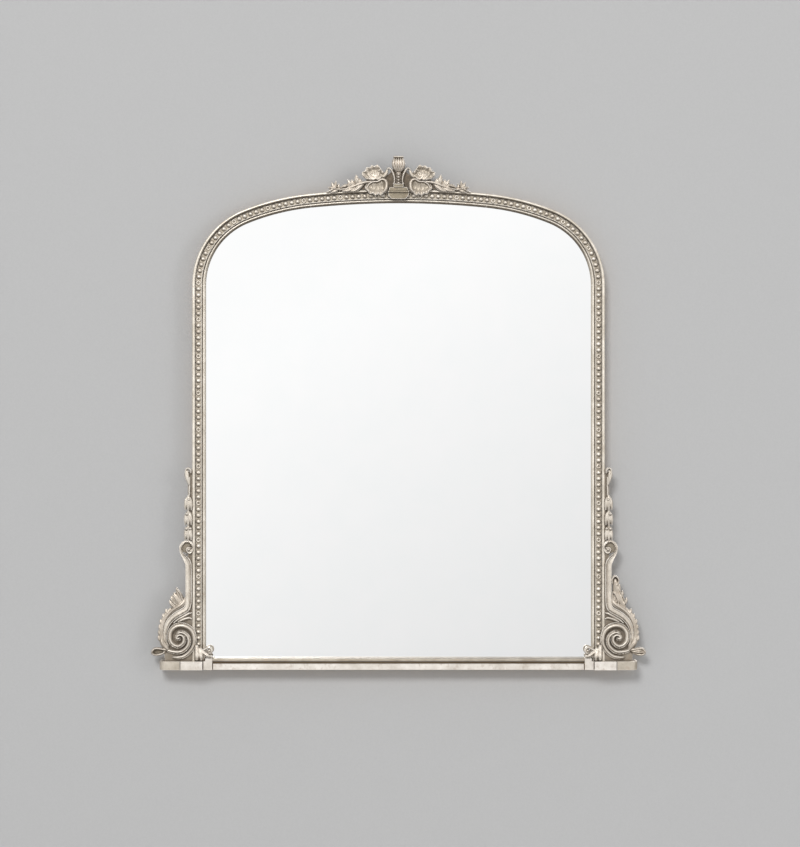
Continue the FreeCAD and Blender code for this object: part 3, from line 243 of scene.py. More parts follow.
LEAF, LEAF_SHADE = rgb(232, 224, 212), rgb(198, 188, 174)
# A darker copy of the leaf for the acanthus and crest carvings: painted shade
LEAF_IN_SHADE, LEAF_IN_SHADE_DARK = rgb(215, 204, 190), rgb(174, 163, 148)
PINE, PINE_GRAIN = rgb(194, 167, 130), rgb(162, 131, 93)
# Depths out from the wall, near the back of each part, over which painted shade darkens the deepest faces
MOULDING_BED = (MOULDING_BACK + 2.0, MOULDING_BACK + 6.5)
BEADING_BED = (BEADING_BACK + 1.4, BEADING_BACK + 3.8)
BRACKET_BED = (BRACKET_FACE + 1.0, BRACKET_FACE + 6.5)
CREST_BED = (CREST_FACE + 0.75, CREST_FACE + 6.25)
SHELL_BED = (CREST_FACE + 1.75, CREST_FACE + 10.75)
ALONG_X, ALONG_Z = 0, 2
materials = {
    # The moulding's undersides take painted shade over a wider tilt
    "moulding_leaf": silver_leaf("moulding_leaf", rgb(238, 230, 218), rgb(206, 197, 182), 4.0,
                                 bed=MOULDING_BED, bed_shade=PALE_BED_SHADE, under=(-0.5, 0.0)),
    "beading_leaf": silver_leaf("beading_leaf", rgb(238, 230, 218), LEAF_SHADE, 5.0,
                                bed=BEADING_BED, bed_shade=PALE_BED_SHADE),
    "plinth_leaf": silver_leaf("plinth_leaf", rgb(240, 234, 226), rgb(216, 208, 197)),
    # Darker copies of the leaf for the end blocks and the cap: painted shade
    "end_leaf": silver_leaf("end_leaf", rgb(206, 197, 183), rgb(178, 168, 152)),
    "cap_leaf": silver_leaf("cap_leaf", rgb(172, 164, 151), rgb(144, 135, 121), wear=0.4),
    "carving_leaf": silver_leaf("carving_leaf", LEAF, LEAF_SHADE, 9.0, 0.7, BRACKET_BED, fine=True),
    # Darker copies of the leaf for the acanthus, crest and shell carvings: painted shade
    "acanthus_leaf": silver_leaf("acanthus_leaf", LEAF_IN_SHADE, LEAF_IN_SHADE_DARK, 10.0, 0.6, BRACKET_BED, fine=True),
    "crest_leaf": silver_leaf("crest_leaf", LEAF_IN_SHADE, LEAF_IN_SHADE_DARK, 10.0, 0.7, CREST_BED, fine=True),
    "shell_leaf": silver_leaf("shell_leaf", LEAF_IN_SHADE, LEAF_IN_SHADE_DARK, 11.0, 0.7, SHELL_BED, fine=True),
    # Dark copy of the leaf for the crest base: painted shade
    "apron_leaf": silver_leaf("apron_leaf", rgb(156, 146, 128), rgb(110, 101, 84), 12.0, 0.9),
    # A darker copy of the leaf for the board behind the bracket carvings: painted shade of the ground
    # between them
    "toned_board": silver_leaf("toned_board", rgb(168, 158, 144), rgb(136, 126, 112), 14.0, 0.4),
    # Near-black copy of the leaf for the board behind the crest: painted shade of the deep gaps between its
    # leaves
    "painted_shade_board": silver_leaf("painted_shade_board", rgb(100, 89, 75), rgb(72, 62, 50), 14.0, 0.3),
    "bare_timber": timber("bare_timber", PINE, PINE_GRAIN, ALONG_Z),
    "rail_timber": timber("rail_timber", PINE, PINE_GRAIN, ALONG_X),
    "dowel_timber": timber("dowel_timber", rgb(214, 186, 144), rgb(190, 154, 108), ALONG_X, 1.6),
    "backing_board": board("backing_board", rgb(152, 118, 84), rgb(118, 88, 60)),
    "packer_cork": cork("packer_cork"),
    "hardware_steel": steel("hardware_steel", rgb(206, 204, 198), rgb(168, 166, 160)),
    "screw_steel": steel("screw_steel", rgb(214, 200, 156), rgb(176, 160, 116)),
    "bumper_rubber": rubber("bumper_rubber"),
    "silvered_glass": mirror("silvered_glass"),
}
# Parts given another material: sawn rails with grain along them, and darker leaf copies that are painted
# shade
OTHER_FINISH_OR_SHADE_COPY = {
    "carcass_bottom_rail": "rail_timber", "carcass_crown": "rail_timber", "plinth_core": "rail_timber",
    "wall_batten": "rail_timber", "plinth_block_end_left": "end_leaf", "plinth_block_end_right": "end_leaf",
    "plinth_cap": "cap_leaf", "crest_base": "apron_leaf", "crest_board": "painted_shade_board",
}
for row in frame["record"]["subparts"]:
    mesh = nodes[row["node"]].data
    mesh.materials.clear()
    mesh.materials.append(materials[OTHER_FINISH_OR_SHADE_COPY.get(row["node"], row["material_slot"])])


# Carved relief: each ornament is a height field over its seat, cut to its outline and closed behind.
# Lengths are in millimetres; slack and shift are shares of the grid's step

STEP = 0.8
OVER_STILE = 0.4
PATH_SPACING, LEAST_WIDTH, LEAST_DEPTH = 0.5, 0.3, 0.6
OUTSIDE, FAR_OFF = -9.0, 1e9
WIDTH_PULL = 0.35
EDGE_SLACK, EDGE_SHIFT, LEAST_SLOPE = 0.45, 0.9, 0.2
SHARP_ANGLE = math.radians(58)


def smooth_path(rows):
    """Points along a smooth curve through the rows; every column is carried along."""
    rows = np.array(rows, float)
    if len(rows) == 1:
        return rows
    padded = np.vstack([2 * rows[0] - rows[1], rows, 2 * rows[-1] - rows[-2]])
    pieces = []
    for a, b, c, d in zip(padded, padded[1:], padded[2:], padded[3:]):
        count = max(2, int(np.hypot(*(c - b)[:2]) / PATH_SPACING))
        t = np.linspace(0, 1, count, endpoint=False)[:, None]
        pieces.append(0.5 * (2 * b + (c - a) * t + (2 * a - 5 * b + 4 * c - d) * t ** 2
                             + (3 * b - a - 3 * c + d) * t ** 3))
    path = np.vstack(pieces + [rows[-1:]])
    path[:, 2] = np.maximum(path[:, 2], LEAST_WIDTH)
    return path


# Sections across a stroke, from its right edge at minus one to its left edge at one

def section_round(u):
    """Plain round roll."""
    return 0.45 + 0.55 * np.sqrt(np.maximum(0.0, 1 - u * u))


def section_leaf(u):
    """Domed leaf with a cut vein down the middle and two faint side veins."""
    body = 0.5 + 0.5 * np.maximum(0.0, 1 - u * u) ** 0.7
    return body - 0.17 * np.exp(-(u / 0.17) ** 2) - 0.05 * np.exp(-((np.abs(u) - 0.52) / 0.12) ** 2)


def section_cup(u):
    """Hollowed lobe between two raised edges."""
    edge = np.clip((1 - np.abs(u)) / 0.16, 0.0, 1.0)
    return (0.66 + 0.34 * np.abs(u) ** 1.8) * (0.62 + 0.38 * edge)


def section_flat(u):
    """Level face with a small step at its edges."""
    return np.where(np.abs(u) < 0.9, 1.0, 0.82)


def section_rib(u):
    """Full roll with one groove beside its crown."""
    return 0.4 + 0.6 * np.maximum(0.0, 1 - u * u) ** 0.6 - 0.14 * np.exp(-((u + 0.45) / 0.13) ** 2)


def section_strap(u):
    """Sunk face between raised edges, with a second fillet beside the inner edge."""
    return np.interp(u, (-1.0, -0.82, -0.62, -0.44, -0.26, -0.08, 0.66, 0.84, 1.0),
                     (0.74, 1.0, 0.62, 0.72, 1.0, 0.74, 0.74, 0.92, 0.70))


def section_scroll(u):
    """Round roll with a small fillet along its outer edge."""
    crown = 0.42 + 0.58 * np.sqrt(np.maximum(0.0, 1 - ((u + 0.2) / 0.8) ** 2))
    fillet = 0.42 + 0.34 * np.sqrt(np.maximum(0.0, 1 - ((u - 0.8) / 0.2) ** 2))
    return np.maximum(crown, fillet)


class Relief:
    """A grid of heights; across and up are measured from the origin, in millimetres."""

    def __init__(self, origin, x, z):
        self.origin = origin
        self.X, self.Z = np.meshgrid(np.arange(*x, STEP), np.arange(*z, STEP), indexing="ij")
        self.inside = np.full(self.X.shape, OUTSIDE)
        self.height = np.zeros(self.X.shape)

    def stroke(self, rows, section=section_round):
        """One carved stroke; the rows give across, up, half width and height."""
        path = smooth_path(rows)
        reach = path[:, 2].max() + 2 * STEP
        near = ((self.X > path[:, 0].min() - reach) & (self.X < path[:, 0].max() + reach)
                & (self.Z > path[:, 1].min() - reach) & (self.Z < path[:, 1].max() + reach))
        x, z = self.X[near], self.Z[near]
        best = np.full(x.shape, FAR_OFF)
        index = np.zeros(x.shape, int)
        for k, (px, pz) in enumerate(path[:, :2]):
            far = np.hypot(x - px, z - pz) - path[k, 2] * WIDTH_PULL
            closer = far < best
            best[closer] = far[closer]
            index[closer] = k
        row = path[index]
        along = np.tile((0.0, 1.0), (len(x), 1))
        if len(path) > 1:
            along = np.gradient(path[:, :2], axis=0)[index]
        dx, dz = x - row[:, 0], z - row[:, 1]
        away = np.hypot(dx, dz)
        side = np.sign(along[:, 0] * dz - along[:, 1] * dx)
        level = row[:, 3] * section(np.clip(side * away / row[:, 2], -1, 1))
        depth = row[:, 2] - away
        self.inside[near] = np.maximum(self.inside[near], depth)
        self.height[near] = np.maximum(self.height[near], np.where(depth > -STEP, level, 0.0))

    def strokes(self, table, section=section_round):
        for rows in table:
            self.stroke(rows, section)

    def lobes(self, table, width, low, high, shape, section):
        """Lobes from root to tip; the shape gives place, width and height along each."""
        for root, tip in table:
            rows = []
            for t, w, h in shape:
                across, up = root[0] + (tip[0] - root[0]) * t, root[1] + (tip[1] - root[1]) * t
                rows.append((across, up, width * w, low + (high - low) * h))
            self.stroke(rows, section)

    def clip(self, keep):
        self.inside = np.minimum(self.inside, keep)

    def soften(self, times):
        for _ in range(times):
            h = np.pad(self.height, 1, mode="edge")
            self.height = (h[1:-1, 1:-1] * 4 + h[:-2, 1:-1] + h[2:, 1:-1] + h[1:-1, :-2] + h[1:-1, 2:]) / 8

    def surface(self, seat):
        """Corners and faces of the closed solid between the seat and the carved face."""
        ok = self.inside > -EDGE_SLACK * STEP
        cell = ok[:-1, :-1] & ok[1:, :-1] & ok[:-1, 1:] & ok[1:, 1:]
        used = np.zeros(ok.shape, int)
        for i in (0, 1):
            for j in (0, 1):
                used[i:i + cell.shape[0], j:j + cell.shape[1]] += cell
        gx, gz = np.gradient(self.inside, STEP)
        steep = np.maximum(gx * gx + gz * gz, LEAST_SLOPE)
        edge = (used > 0) & (used < 4)
        most = EDGE_SHIFT * STEP
        move = np.where(edge, np.clip(-self.inside / steep, -most, most), 0.0)
        half = 0.5 * STEP
        x, z = self.X + np.clip(move * gx, -half, half), self.Z + np.clip(move * gz, -half, half)
        back = np.where(x < OVER_STILE, max(seat, OVERLAY_SEAT), seat)
        front = np.maximum(back + LEAST_DEPTH, seat + self.height)
        picked = used > 0
        total = int(picked.sum())
        number = np.full(ok.shape, -1)
        number[picked] = np.arange(total)
        across, up = x[picked] + self.origin[0], z[picked] + self.origin[1]
        corners = np.concatenate([np.stack([across, -front[picked], up], 1),
                                  np.stack([across, -back[picked], up], 1)]) * MM
        a, b = number[:-1, :-1][cell], number[1:, :-1][cell]
        c, d = number[1:, 1:][cell], number[:-1, 1:][cell]
        faces = [np.stack([a, b, c, d], 1), np.stack([d, c, b, a], 1) + total]
        padded = np.pad(cell, 1)
        rows, columns = cell.shape
        for p, q, i, j in ((a, b, 1, 0), (b, c, 2, 1), (c, d, 1, 2), (d, a, 0, 1)):
            bare = ~padded[i:i + rows, j:j + columns][cell]
            faces.append(np.stack([q[bare], p[bare], p[bare] + total, q[bare] + total], 1))
        return corners, np.vstack(faces)


def carve(relief, node, seat, finish_or_shade_copy="carving_leaf"):
    """The carved piece that stands for one node; the left side is the right side mirrored."""
    relief.soften(1)
    corners, faces = relief.surface(seat)
    if node.endswith("_left"):
        corners = corners * (-1, 1, 1)
        faces = faces[:, ::-1]
    mesh = bpy.data.meshes.new(node + "_carved")
    mesh.from_pydata(corners.tolist(), [], faces.tolist())
    mesh.polygons.foreach_set("use_smooth", [True] * len(mesh.polygons))
    mesh.set_sharp_from_angle(angle=SHARP_ANGLE)
    # The acanthus and crest pieces take darker copies of the leaf as painted shade
    mesh.materials.append(materials[finish_or_shade_copy])
    obj = bpy.data.objects.new(node + "_carved", mesh)
    scene.collection.objects.link(obj)
    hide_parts(node)
    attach(obj, "frame")


# Bracket strokes: across from the moulding's outer edge, up from the plinth's top, half width and height,
# all in millimetres
VOLUTE_OUTER_ARM = (
    (44.5, 10.8, 1.3, 4.5), (40.5, 10.5, 2.9, 7), (32, 10.5, 3.5, 8), (21.6, 12, 4, 8.5),
    (12.2, 17, 4.2, 9), (4.9, 23.5, 4.4, 9.5), (-0.5, 30.5, 4.6, 10), (-4.7, 40, 4.6, 10.5),
    (-6.2, 51, 4.7, 11), (-5, 62, 5.1, 11.5), (-0.5, 72.5, 5.5, 12), (7.5, 80, 5.9, 12.5),
    (17.5, 84.5, 6.2, 12.5), (28, 85.3, 6.2, 12.5), (38, 82.5, 5.9, 12.5), (46, 76, 5.7, 12.5),
    (50.8, 67, 5.4, 12.5), (51.6, 57.5, 5.1, 12.5), (49.6, 48, 4.8, 12.5), (44.4, 41, 4.6, 12.8),
    (38, 37.3, 4.5, 13), (31.5, 36.2, 4.4, 13), (24.8, 39, 4.4, 13.3), (19, 45.1, 4.4, 13.7),
    (17, 52.5, 4.3, 14), (19.3, 59.3, 4.2, 14.3), (24.5, 63, 4.1, 14.6), (30.8, 62.6, 4, 15),
    (35.2, 58, 3.7, 15.3), (33.5, 53.2, 3.5, 15.6), (30, 54, 4.4, 16.5))
VOLUTE_INNER_ARM = (
    (54, 26.2, 3.7, 9.5), (44.6, 23.7, 4.3, 10.5), (33, 22.6, 4.4, 11), (23.7, 24.2, 4.4, 11.3),
    (14.5, 30.5, 4.4, 11.6), (8.3, 38.8, 4.4, 12), (6.2, 48.2, 4.4, 12.3), (8.2, 57.5, 4.3, 12.6),
    (13.3, 64.2, 4.2, 13), (19.5, 68, 4, 13.3), (26, 69.3, 3.7, 13.6), (32, 67.5, 3.3, 13.8),
    (35.3, 65.6, 1.4, 9.5))
VOLUTE_LEAVES = (
    ((2, 113, 1.6, 6), (8, 111.5, 2.8, 8), (17, 106.5, 3.2, 8.8), (27, 101, 2.8, 8.5), (36, 95.5, 2, 8),
     (42, 90, 1.4, 7.5)),
    ((1, 99.5, 1.6, 5.5), (7, 101.5, 2.8, 7.5), (15, 100, 3.2, 8), (24, 96.5, 2.6, 7.8), (32, 93, 1.8, 7.4)))
STRAP = (
    (3.5, 262.5, 1.6, 13.5), (8, 263.6, 2, 13.2), (11.3, 260, 2.2, 12.8), (9.6, 255, 2.3, 12.4),
    (4.8, 252.8, 2.4, 12), (-0.5, 257.5, 2.4, 11.6), (-2.5, 265.5, 2.5, 11.3), (0.3, 273, 2.5, 11),
    (6, 277.3, 2.6, 11), (13.5, 278, 2.6, 11), (20, 275, 2.7, 11), (25, 269, 2.8, 11),
    (26.3, 260.6, 2.9, 11), (24.3, 251.5, 3.1, 10.5), (19, 243.5, 4.6, 10.2), (13, 236, 6.8, 10),
    (8.8, 226.5, 7.4, 9.8), (7.9, 213, 7.3, 9.8), (7.9, 173, 7.3, 9.8), (7.9, 148, 7.3, 9.8),
    (8.8, 133, 7.4, 10), (13, 122.5, 7.6, 10.5), (23, 116, 7.6, 10.5), (33, 110.5, 7.5, 10.5),
    (43, 103.5, 7, 10.5), (52, 94, 6.5, 10.2), (58, 83, 5.5, 9.8), (61, 71, 4.5, 9.2), (62, 59, 4, 8.6),
    (60.5, 47, 3.5, 8), (56.5, 37, 3, 7.5))
ACANTHUS_RIB = (
    (16, 147, 3, 9), (18, 140, 5.4, 12), (23, 133.5, 6.4, 14), (30, 128.5, 6.2, 14), (38, 123.5, 5.8, 13),
    (46, 117.5, 5.2, 12), (53, 110.5, 4.6, 11), (59.5, 101.5, 4, 10), (64.5, 90.5, 3.6, 9.3),
    (67.6, 78.5, 3.4, 9), (68.6, 66, 3.4, 9), (68.2, 57, 3.8, 10), (68.5, 49, 5.4, 12.5),
    (66, 42, 6.2, 13.5), (61, 35.5, 5.6, 12.5), (55.5, 30, 3.4, 11))
ACANTHUS_WEB = (
    (49, 122.5, 3, 8), (58, 113, 4.2, 8.5), (64, 103.5, 4.2, 8.5), (68.5, 92, 4.2, 8), (71.2, 79, 4.2, 8),
    (72, 66, 4.2, 8), (71.6, 55, 4.2, 8.5), (70.6, 46, 3.6, 9))
LEFT_WEB = (
    (24, 133, 5.2, 10.9), (30, 140, 10, 11.6), (35.5, 146.5, 11, 11.6), (39, 151.5, 7.9, 11),
    (41, 155, 3.2, 9.9))
RIGHT_WEB = (
    (45, 122, 4, 9), (38.5, 137, 7.5, 10.5), (31, 154, 8, 11), (26, 171, 7, 11.5), (23.5, 185, 5.5, 12))
ACANTHUS_LOBES = (
    ((49, 113, 5, 8.4), (54.5, 114.5, 5.8, 9.7), (58, 117, 4.6, 9.7), (60, 121.5, 1.7, 8.2)),
    ((56.5, 101.5, 4.8, 8), (62, 103, 5.5, 8.9), (65.2, 105.8, 4.3, 8.9), (66.8, 110.4, 1.6, 7.6)),
    ((62.8, 89, 4.5, 7.6), (68, 90.2, 5.2, 8.4), (71, 93, 4.1, 8.4), (72.4, 97.6, 1.5, 7.2)),
    ((66.4, 76.5, 4.2, 7.1), (71, 77.5, 5.1, 8.1), (73.8, 80.4, 4, 8.1), (75, 85, 1.5, 7.1)),
    ((68, 64, 4.2, 7.1), (72.4, 65, 5, 8.1), (75, 68, 3.8, 8.1), (76.2, 72.6, 1.5, 7.1)),
    ((68.4, 51.5, 5.5, 8.8), (73.2, 52.5, 5, 8.6), (75.8, 55.6, 3.8, 8.4), (77, 60.4, 1.5, 7.1)))
LEFT_PALM = (
    ((22, 134, 4, 11), (24.6, 143, 5.6, 12), (28, 153, 5.8, 13.4), (32.5, 162, 4.4, 14),
     (36, 170, 1.8, 12.5)),
    ((26, 133, 4, 11), (31.5, 142, 5.6, 12), (36.5, 151, 5.2, 12), (40.5, 159.5, 1.8, 10.5)),
    ((31, 130, 4, 10.5), (38, 137, 5.6, 11.5), (43.5, 144, 5, 11.2), (47.5, 151, 1.8, 9.8)),
    ((37, 126, 4, 10), (43.5, 131, 5.2, 11), (48, 136.5, 4.4, 10.8), (51, 142, 1.7, 9.2)))
RIGHT_PALM = (
    ((22, 133, 6, 9.5), (25.5, 148, 9, 10.5), (26, 163, 8, 11), (24.5, 178, 6.5, 11.5), (23, 189, 5, 12)),
    ((25, 153, 4, 11), (30, 163, 5, 12), (32.5, 173, 4, 12), (31, 181, 1.8, 11)),
    ((30, 141, 4, 10.5), (36, 149, 5, 11.5), (39.5, 157, 3.6, 11), (40, 164, 1.6, 9.8)),
    ((37, 129, 4, 10), (43.5, 135, 5, 11), (48, 141, 3.8, 10.8), (49.5, 148, 1.6, 9.2)))
LEFT_CURLS = (
    ((24.2, 150, 1.8, 12), (25, 156, 2, 14), (29, 161.6, 2, 15.4), (35.6, 169, 1.7, 14)),
    ((19, 141, 1.8, 11), (22.6, 146.5, 2.2, 13), (24.4, 153, 1.9, 14), (28.6, 160.4, 1.5, 14.5)),
    ((33, 140, 1.5, 12.6), (38, 147.5, 1.7, 13.4), (42, 155, 1.4, 12.4)),
    ((39, 134.6, 1.5, 12), (44.8, 141, 1.7, 12.4), (48.8, 147.8, 1.3, 11)))
RIGHT_CURLS = (
    ((17, 181, 1.7, 12), (16.6, 191, 2, 14), (21.5, 197.4, 2.2, 15), (28.5, 194.5, 2.2, 15),
     (31, 185.5, 2.1, 14), (27, 177, 1.8, 13)),
    ((17, 159, 1.5, 12), (17.4, 147, 1.7, 12.6), (22.5, 136, 1.7, 13.2)),
    ((18, 161, 1.5, 12), (23.6, 155, 1.7, 13.4), (28.4, 144, 1.7, 13.6), (31, 133, 1.5, 13)),
    ((33, 169, 1.4, 11.5), (37, 159, 1.5, 12.4), (42, 148, 1.5, 12.4), (48, 135, 1.4, 12)))
ACANTHUS_TAIL = (
    ((57, 28.2, 3.4, 9), (64.5, 29, 3.2, 10), (72, 30.6, 2.8, 11), (80.2, 31.6, 2.7, 12),
     (87, 30.2, 2.7, 13), (91.3, 25.2, 2.6, 13), (91.4, 20.6, 2, 11)),
    ((62.5, 25.5, 2.2, 7), (66, 21.2, 2.2, 7.5), (72, 18.4, 2.4, 8), (79, 16.8, 2.6, 9), (86, 17, 2.6, 10),
     (92, 20.6, 2.2, 11)))
TAIL_LEAF = (
    (61, 26, 3, 8), (71, 25.5, 6.2, 11), (81, 24.6, 6, 12.5), (89, 22.8, 2.8, 11.5))
TAIL_HOLLOW = (
    (63, 25, 3, 1.2), (75, 25, 5.5, 1.2), (85, 24, 5.5, 1.2), (90, 23, 4, 2))
FOOT_LOBES = (
    ((-11, 36, 3.8, 8), (-12, 25, 5, 11), (-12.2, 15, 5.5, 13), (-12, 7.5, 4.2, 12)),
    ((-19, 30, 3.8, 8), (-20.4, 21, 4.8, 11), (-21.4, 13, 4.8, 12.5), (-21.6, 6.5, 3.2, 11)),
    ((-12, 30, 3.8, 9), (-23, 26, 4.5, 9), (-31, 20, 4.5, 10), (-38, 15.5, 4.2, 11), (-43.5, 13.5, 2.8, 9)))
FOOT_CURL = (
    (-23, 26, 3, 8), (-30.5, 30, 2.8, 10), (-37.5, 33.6, 2.6, 11), (-43.5, 32.4, 2.6, 11.5),
    (-45.6, 26.7, 2.5, 11.5), (-43.5, 21.6, 2.4, 11), (-39.6, 21.6, 2.2, 10.5))
HUSK_CURL = (
    (3, 435.5, 1.6, 9.5), (2.8, 440.4, 1.9, 10.6), (5.4, 444.4, 2, 11.2), (9.5, 445.6, 2.1, 11.4),
    (13.4, 443.4, 2.1, 11.2), (15, 437.5, 2.1, 10.8), (14.2, 430, 2, 10))
HUSK_TOP = (
    ((11.5, 441, 3, 8), (12.2, 432, 5.2, 10.5), (10.5, 421, 4.4, 10.5), (7, 409, 2.2, 8.5)),
    ((5.8, 424, 1.7, 7.5), (5.8, 403, 1.7, 7.5), (6.6, 383, 1.7, 8)))
HUSK_BERRIES = (
    ((9, 439, 2.6, 9),),
    ((11, 341, 3.9, 15),),
    ((12, 307, 4.4, 15.5),),
    ((4, 307, 3.4, 13.5),),
    ((7, 374, 3.4, 12.5),))
HUSK_BELL = (
    ((0, 0, 2.6, 8), (-4.2, -9, 4.4, 10), (-5.9, -20, 4.1, 10.8), (-6.9, -30.5, 1.5, 8.5)),
    ((0, 0, 2.6, 8), (4.2, -9, 4.4, 10), (5.9, -20, 4.1, 10.8), (6.9, -30.5, 1.5, 8.5)),
    ((0, 2, 2.2, 9), (0, -12, 4.6, 12), (0, -24, 4, 12.4), (0, -36, 1.5, 9)))
HUSK_PLACES = ((8.5, 381), (8.8, 346.5), (8.8, 312))
STRAP_FLOOR, STRAP_EYE = ((11.5, 264, 14, 2),), ((6.6, 259, 3.8, 14.5),)
FOOT_EYE = ((-40.5, 27, 4.2, 8.5),)
FOOT_ROOM = 0.4

# The grid of each bracket piece: from and to across, from and to up
VOLUTE_GRID = ((-15, 71), (5, 118))
STRAP_GRID = ((-9, 71), (29, 285))
ACANTHUS_GRID = ((9, 99), (11, 204))
FOOT_GRID = ((-51, -3), (2, 43))
HUSK_GRID = ((-7, 25), (270, 451))


def volute(side):
    """The big spiral of two arms, with two thin leaves above it."""
    relief = Relief(BRACKET_ORIGIN, *VOLUTE_GRID)
    relief.strokes(VOLUTE_LEAVES)
    relief.stroke(VOLUTE_OUTER_ARM, section_scroll)
    relief.stroke(VOLUTE_INNER_ARM, section_scroll)
    carve(relief, "bracket_volute_" + side, BRACKET_SEAT)


def strap(side):
    """The upright strap from its small curl down to its sweep round the volute."""
    relief = Relief(BRACKET_ORIGIN, *STRAP_GRID)
    relief.stroke(STRAP_FLOOR, section_flat)
    relief.stroke(STRAP, section_strap)
    relief.stroke(STRAP_EYE)
    carve(relief, "bracket_strap_" + side, BRACKET_SEAT)


def acanthus(side):
    """The outer leaf; on the right its palm ends in a tall hooked tip and its tail is filled."""
    relief = Relief(BRACKET_ORIGIN, *ACANTHUS_GRID)
    if side == "left":
        web, palm, curls = LEFT_WEB, LEFT_PALM, LEFT_CURLS
        relief.stroke(TAIL_HOLLOW, section_flat)
    else:
        web, palm, curls = RIGHT_WEB, RIGHT_PALM, RIGHT_CURLS
        relief.stroke(TAIL_LEAF, section_leaf)
    relief.stroke(ACANTHUS_WEB)
    relief.stroke(web)
    relief.strokes(palm, section_leaf)
    relief.strokes(ACANTHUS_LOBES, section_leaf)
    relief.stroke(ACANTHUS_RIB, section_rib)
    relief.strokes(curls)
    relief.strokes(ACANTHUS_TAIL)
    carve(relief, "bracket_acanthus_" + side, BRACKET_SEAT, "acanthus_leaf")


def foot_leaf(side):
    """The leaf over the plinth; its lower edge stops just above the blocks."""
    relief = Relief(BRACKET_ORIGIN, *FOOT_GRID)
    relief.strokes(FOOT_LOBES, section_leaf)
    relief.stroke(FOOT_EYE)
    relief.stroke(FOOT_CURL)
    inner_block, middle_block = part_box("plinth_block_inner_right"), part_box("plinth_block_middle_right")
    over_inner = relief.X + STILE_EDGE < middle_block[0].x / MM - 2 * FOOT_ROOM
    top = np.where(over_inner, inner_block[1].z / MM, middle_block[1].z / MM) + FOOT_ROOM
    relief.clip(relief.Z + PLINTH_TOP - top)
    carve(relief, "bracket_foot_leaf_" + side, OVERLAY_SEAT)


def husk_drop(side):
    """A curled leaf over three bell husks, each hung below the last."""
    relief = Relief(BRACKET_ORIGIN, *HUSK_GRID)
    relief.strokes(HUSK_TOP, section_leaf)
    for across, up in HUSK_PLACES:
        for rows in HUSK_BELL:
            relief.stroke([(across + x, up + z, w, h) for x, z, w, h in rows], section_leaf)
    relief.stroke(HUSK_CURL)
    relief.strokes(HUSK_BERRIES)
    carve(relief, "bracket_husk_drop_" + side, BRACKET_SEAT)


# Crest strokes, right half: across from the middle, up from the moulding's crown, half width and height,
# all in millimetres
CREST_RIM = (
    (72, 2, 2.2, 10), (68, 10, 2.4, 10.5), (59, 15.5, 2.6, 11), (47.5, 16.5, 2.8, 11.5),
    (38.6, 21.3, 3.4, 12.5), (31, 19.2, 4, 13), (27.6, 12.5, 4.2, 13.5), (28.2, 2.5, 4.4, 14),
    (31, -4.4, 4, 13.5), (35, -8.2, 2.6, 11.5))
CREST_C = (
    (25.5, 46, 2, 9), (21.4, 47.3, 2.2, 10), (15.8, 42.2, 2.2, 11), (12, 34.3, 2.2, 11.5),
    (10.1, 27.5, 2.2, 11.5), (9.2, 20, 2.2, 11), (9.8, 14, 2.1, 10.5), (11, 11.8, 2, 10))
SPRAY_STEM = (
    (62, 16.5, 2.6, 8), (75, 15.3, 3, 9.5), (84, 12.8, 3.2, 10), (92, 10, 3.2, 10), (100, 7, 3.2, 9.5),
    (110, 3.5, 3, 9), (122, 0.3, 2.4, 8.5), (134, -1.4, 2.4, 8.5), (146, -0.5, 2.6, 9), (156, -3.5, 2.2, 9),
    (165, -7.5, 1.3, 8))
SPRAY_LEAVES = (
    ((93, 8, 4.6, 8), (94.6, 16, 6.9, 11), (96.4, 23.5, 5.1, 11), (97.3, 31.5, 1.6, 9)),
    ((88, 11, 4.1, 8), (87.5, 16.5, 4.8, 10), (88.5, 22, 1.8, 8.5)),
    ((104, 5, 3.9, 8), (111.5, 12.5, 4.6, 10), (116, 20, 1.7, 8.5)),
    ((101, 7, 3.4, 8), (105.5, 14, 4.1, 9.5), (107, 20.5, 1.6, 8)),
    ((110, 4, 3.4, 8), (117, 7.6, 3.9, 10.5), (124.5, 6.4, 3.7, 11), (132.5, 2.6, 1.7, 9)),
    ((103, 4, 3.9, 8), (112, -1.8, 4.4, 9.5), (120, -4.2, 3.7, 9), (128, -4.6, 1.7, 8)),
    ((82, 12.5, 3.9, 8), (92, 3, 5.3, 9.5), (101, -3, 4.8, 9.5), (109, -5.5, 2.1, 8)),
    ((145, 0, 3.4, 9), (150, 7, 3.9, 10.5), (153, 14, 1.6, 8.5)),
    ((145, 0, 3.4, 9), (144.6, 8.5, 3.9, 10.5), (143.8, 17.5, 1.6, 8.5)),
    ((146, -0.5, 3.4, 9), (153, 2, 3.7, 10.5), (161, 3, 1.6, 8.5)),
    ((135, -1.4, 3, 8), (137.6, 4.5, 3.4, 9.5), (136.6, 11, 1.5, 8)),
    ((140, -1, 3.4, 8), (147, -5.4, 3.7, 9.5), (155, -8.4, 1.8, 8)),
    ((146.5, 1, 3.7, 12),))
LOWER_LOBES = (
    ((36, 14), (31.5, -7)),
    ((42, 14.5), (41, -12.5)),
    ((49, 14), (53, -12.7)),
    ((56, 13), (65, -9.4)),
    ((62, 11.5), (72.5, -0.5)))
UPPER_LOBES = (
    ((58, 24), (82, 36.5)),
    ((57, 25), (72.5, 47)),
    ((55, 26), (61, 51.5)),
    ((52, 26), (49, 53)),
    ((48, 25), (39.5, 41)))
UPPER_RIM = (
    ((75, 24.3, 1.8, 9.5), (66.3, 22.2, 2, 10.5), (56, 22, 2, 10.5), (48, 23.5, 2, 10)),
    ((50, 28.5, 6, 10.5), (58, 31, 5, 10)),
    ((37.5, 35, 1.5, 10), (39.6, 42, 1.7, 12), (44, 49, 1.7, 12.5)))
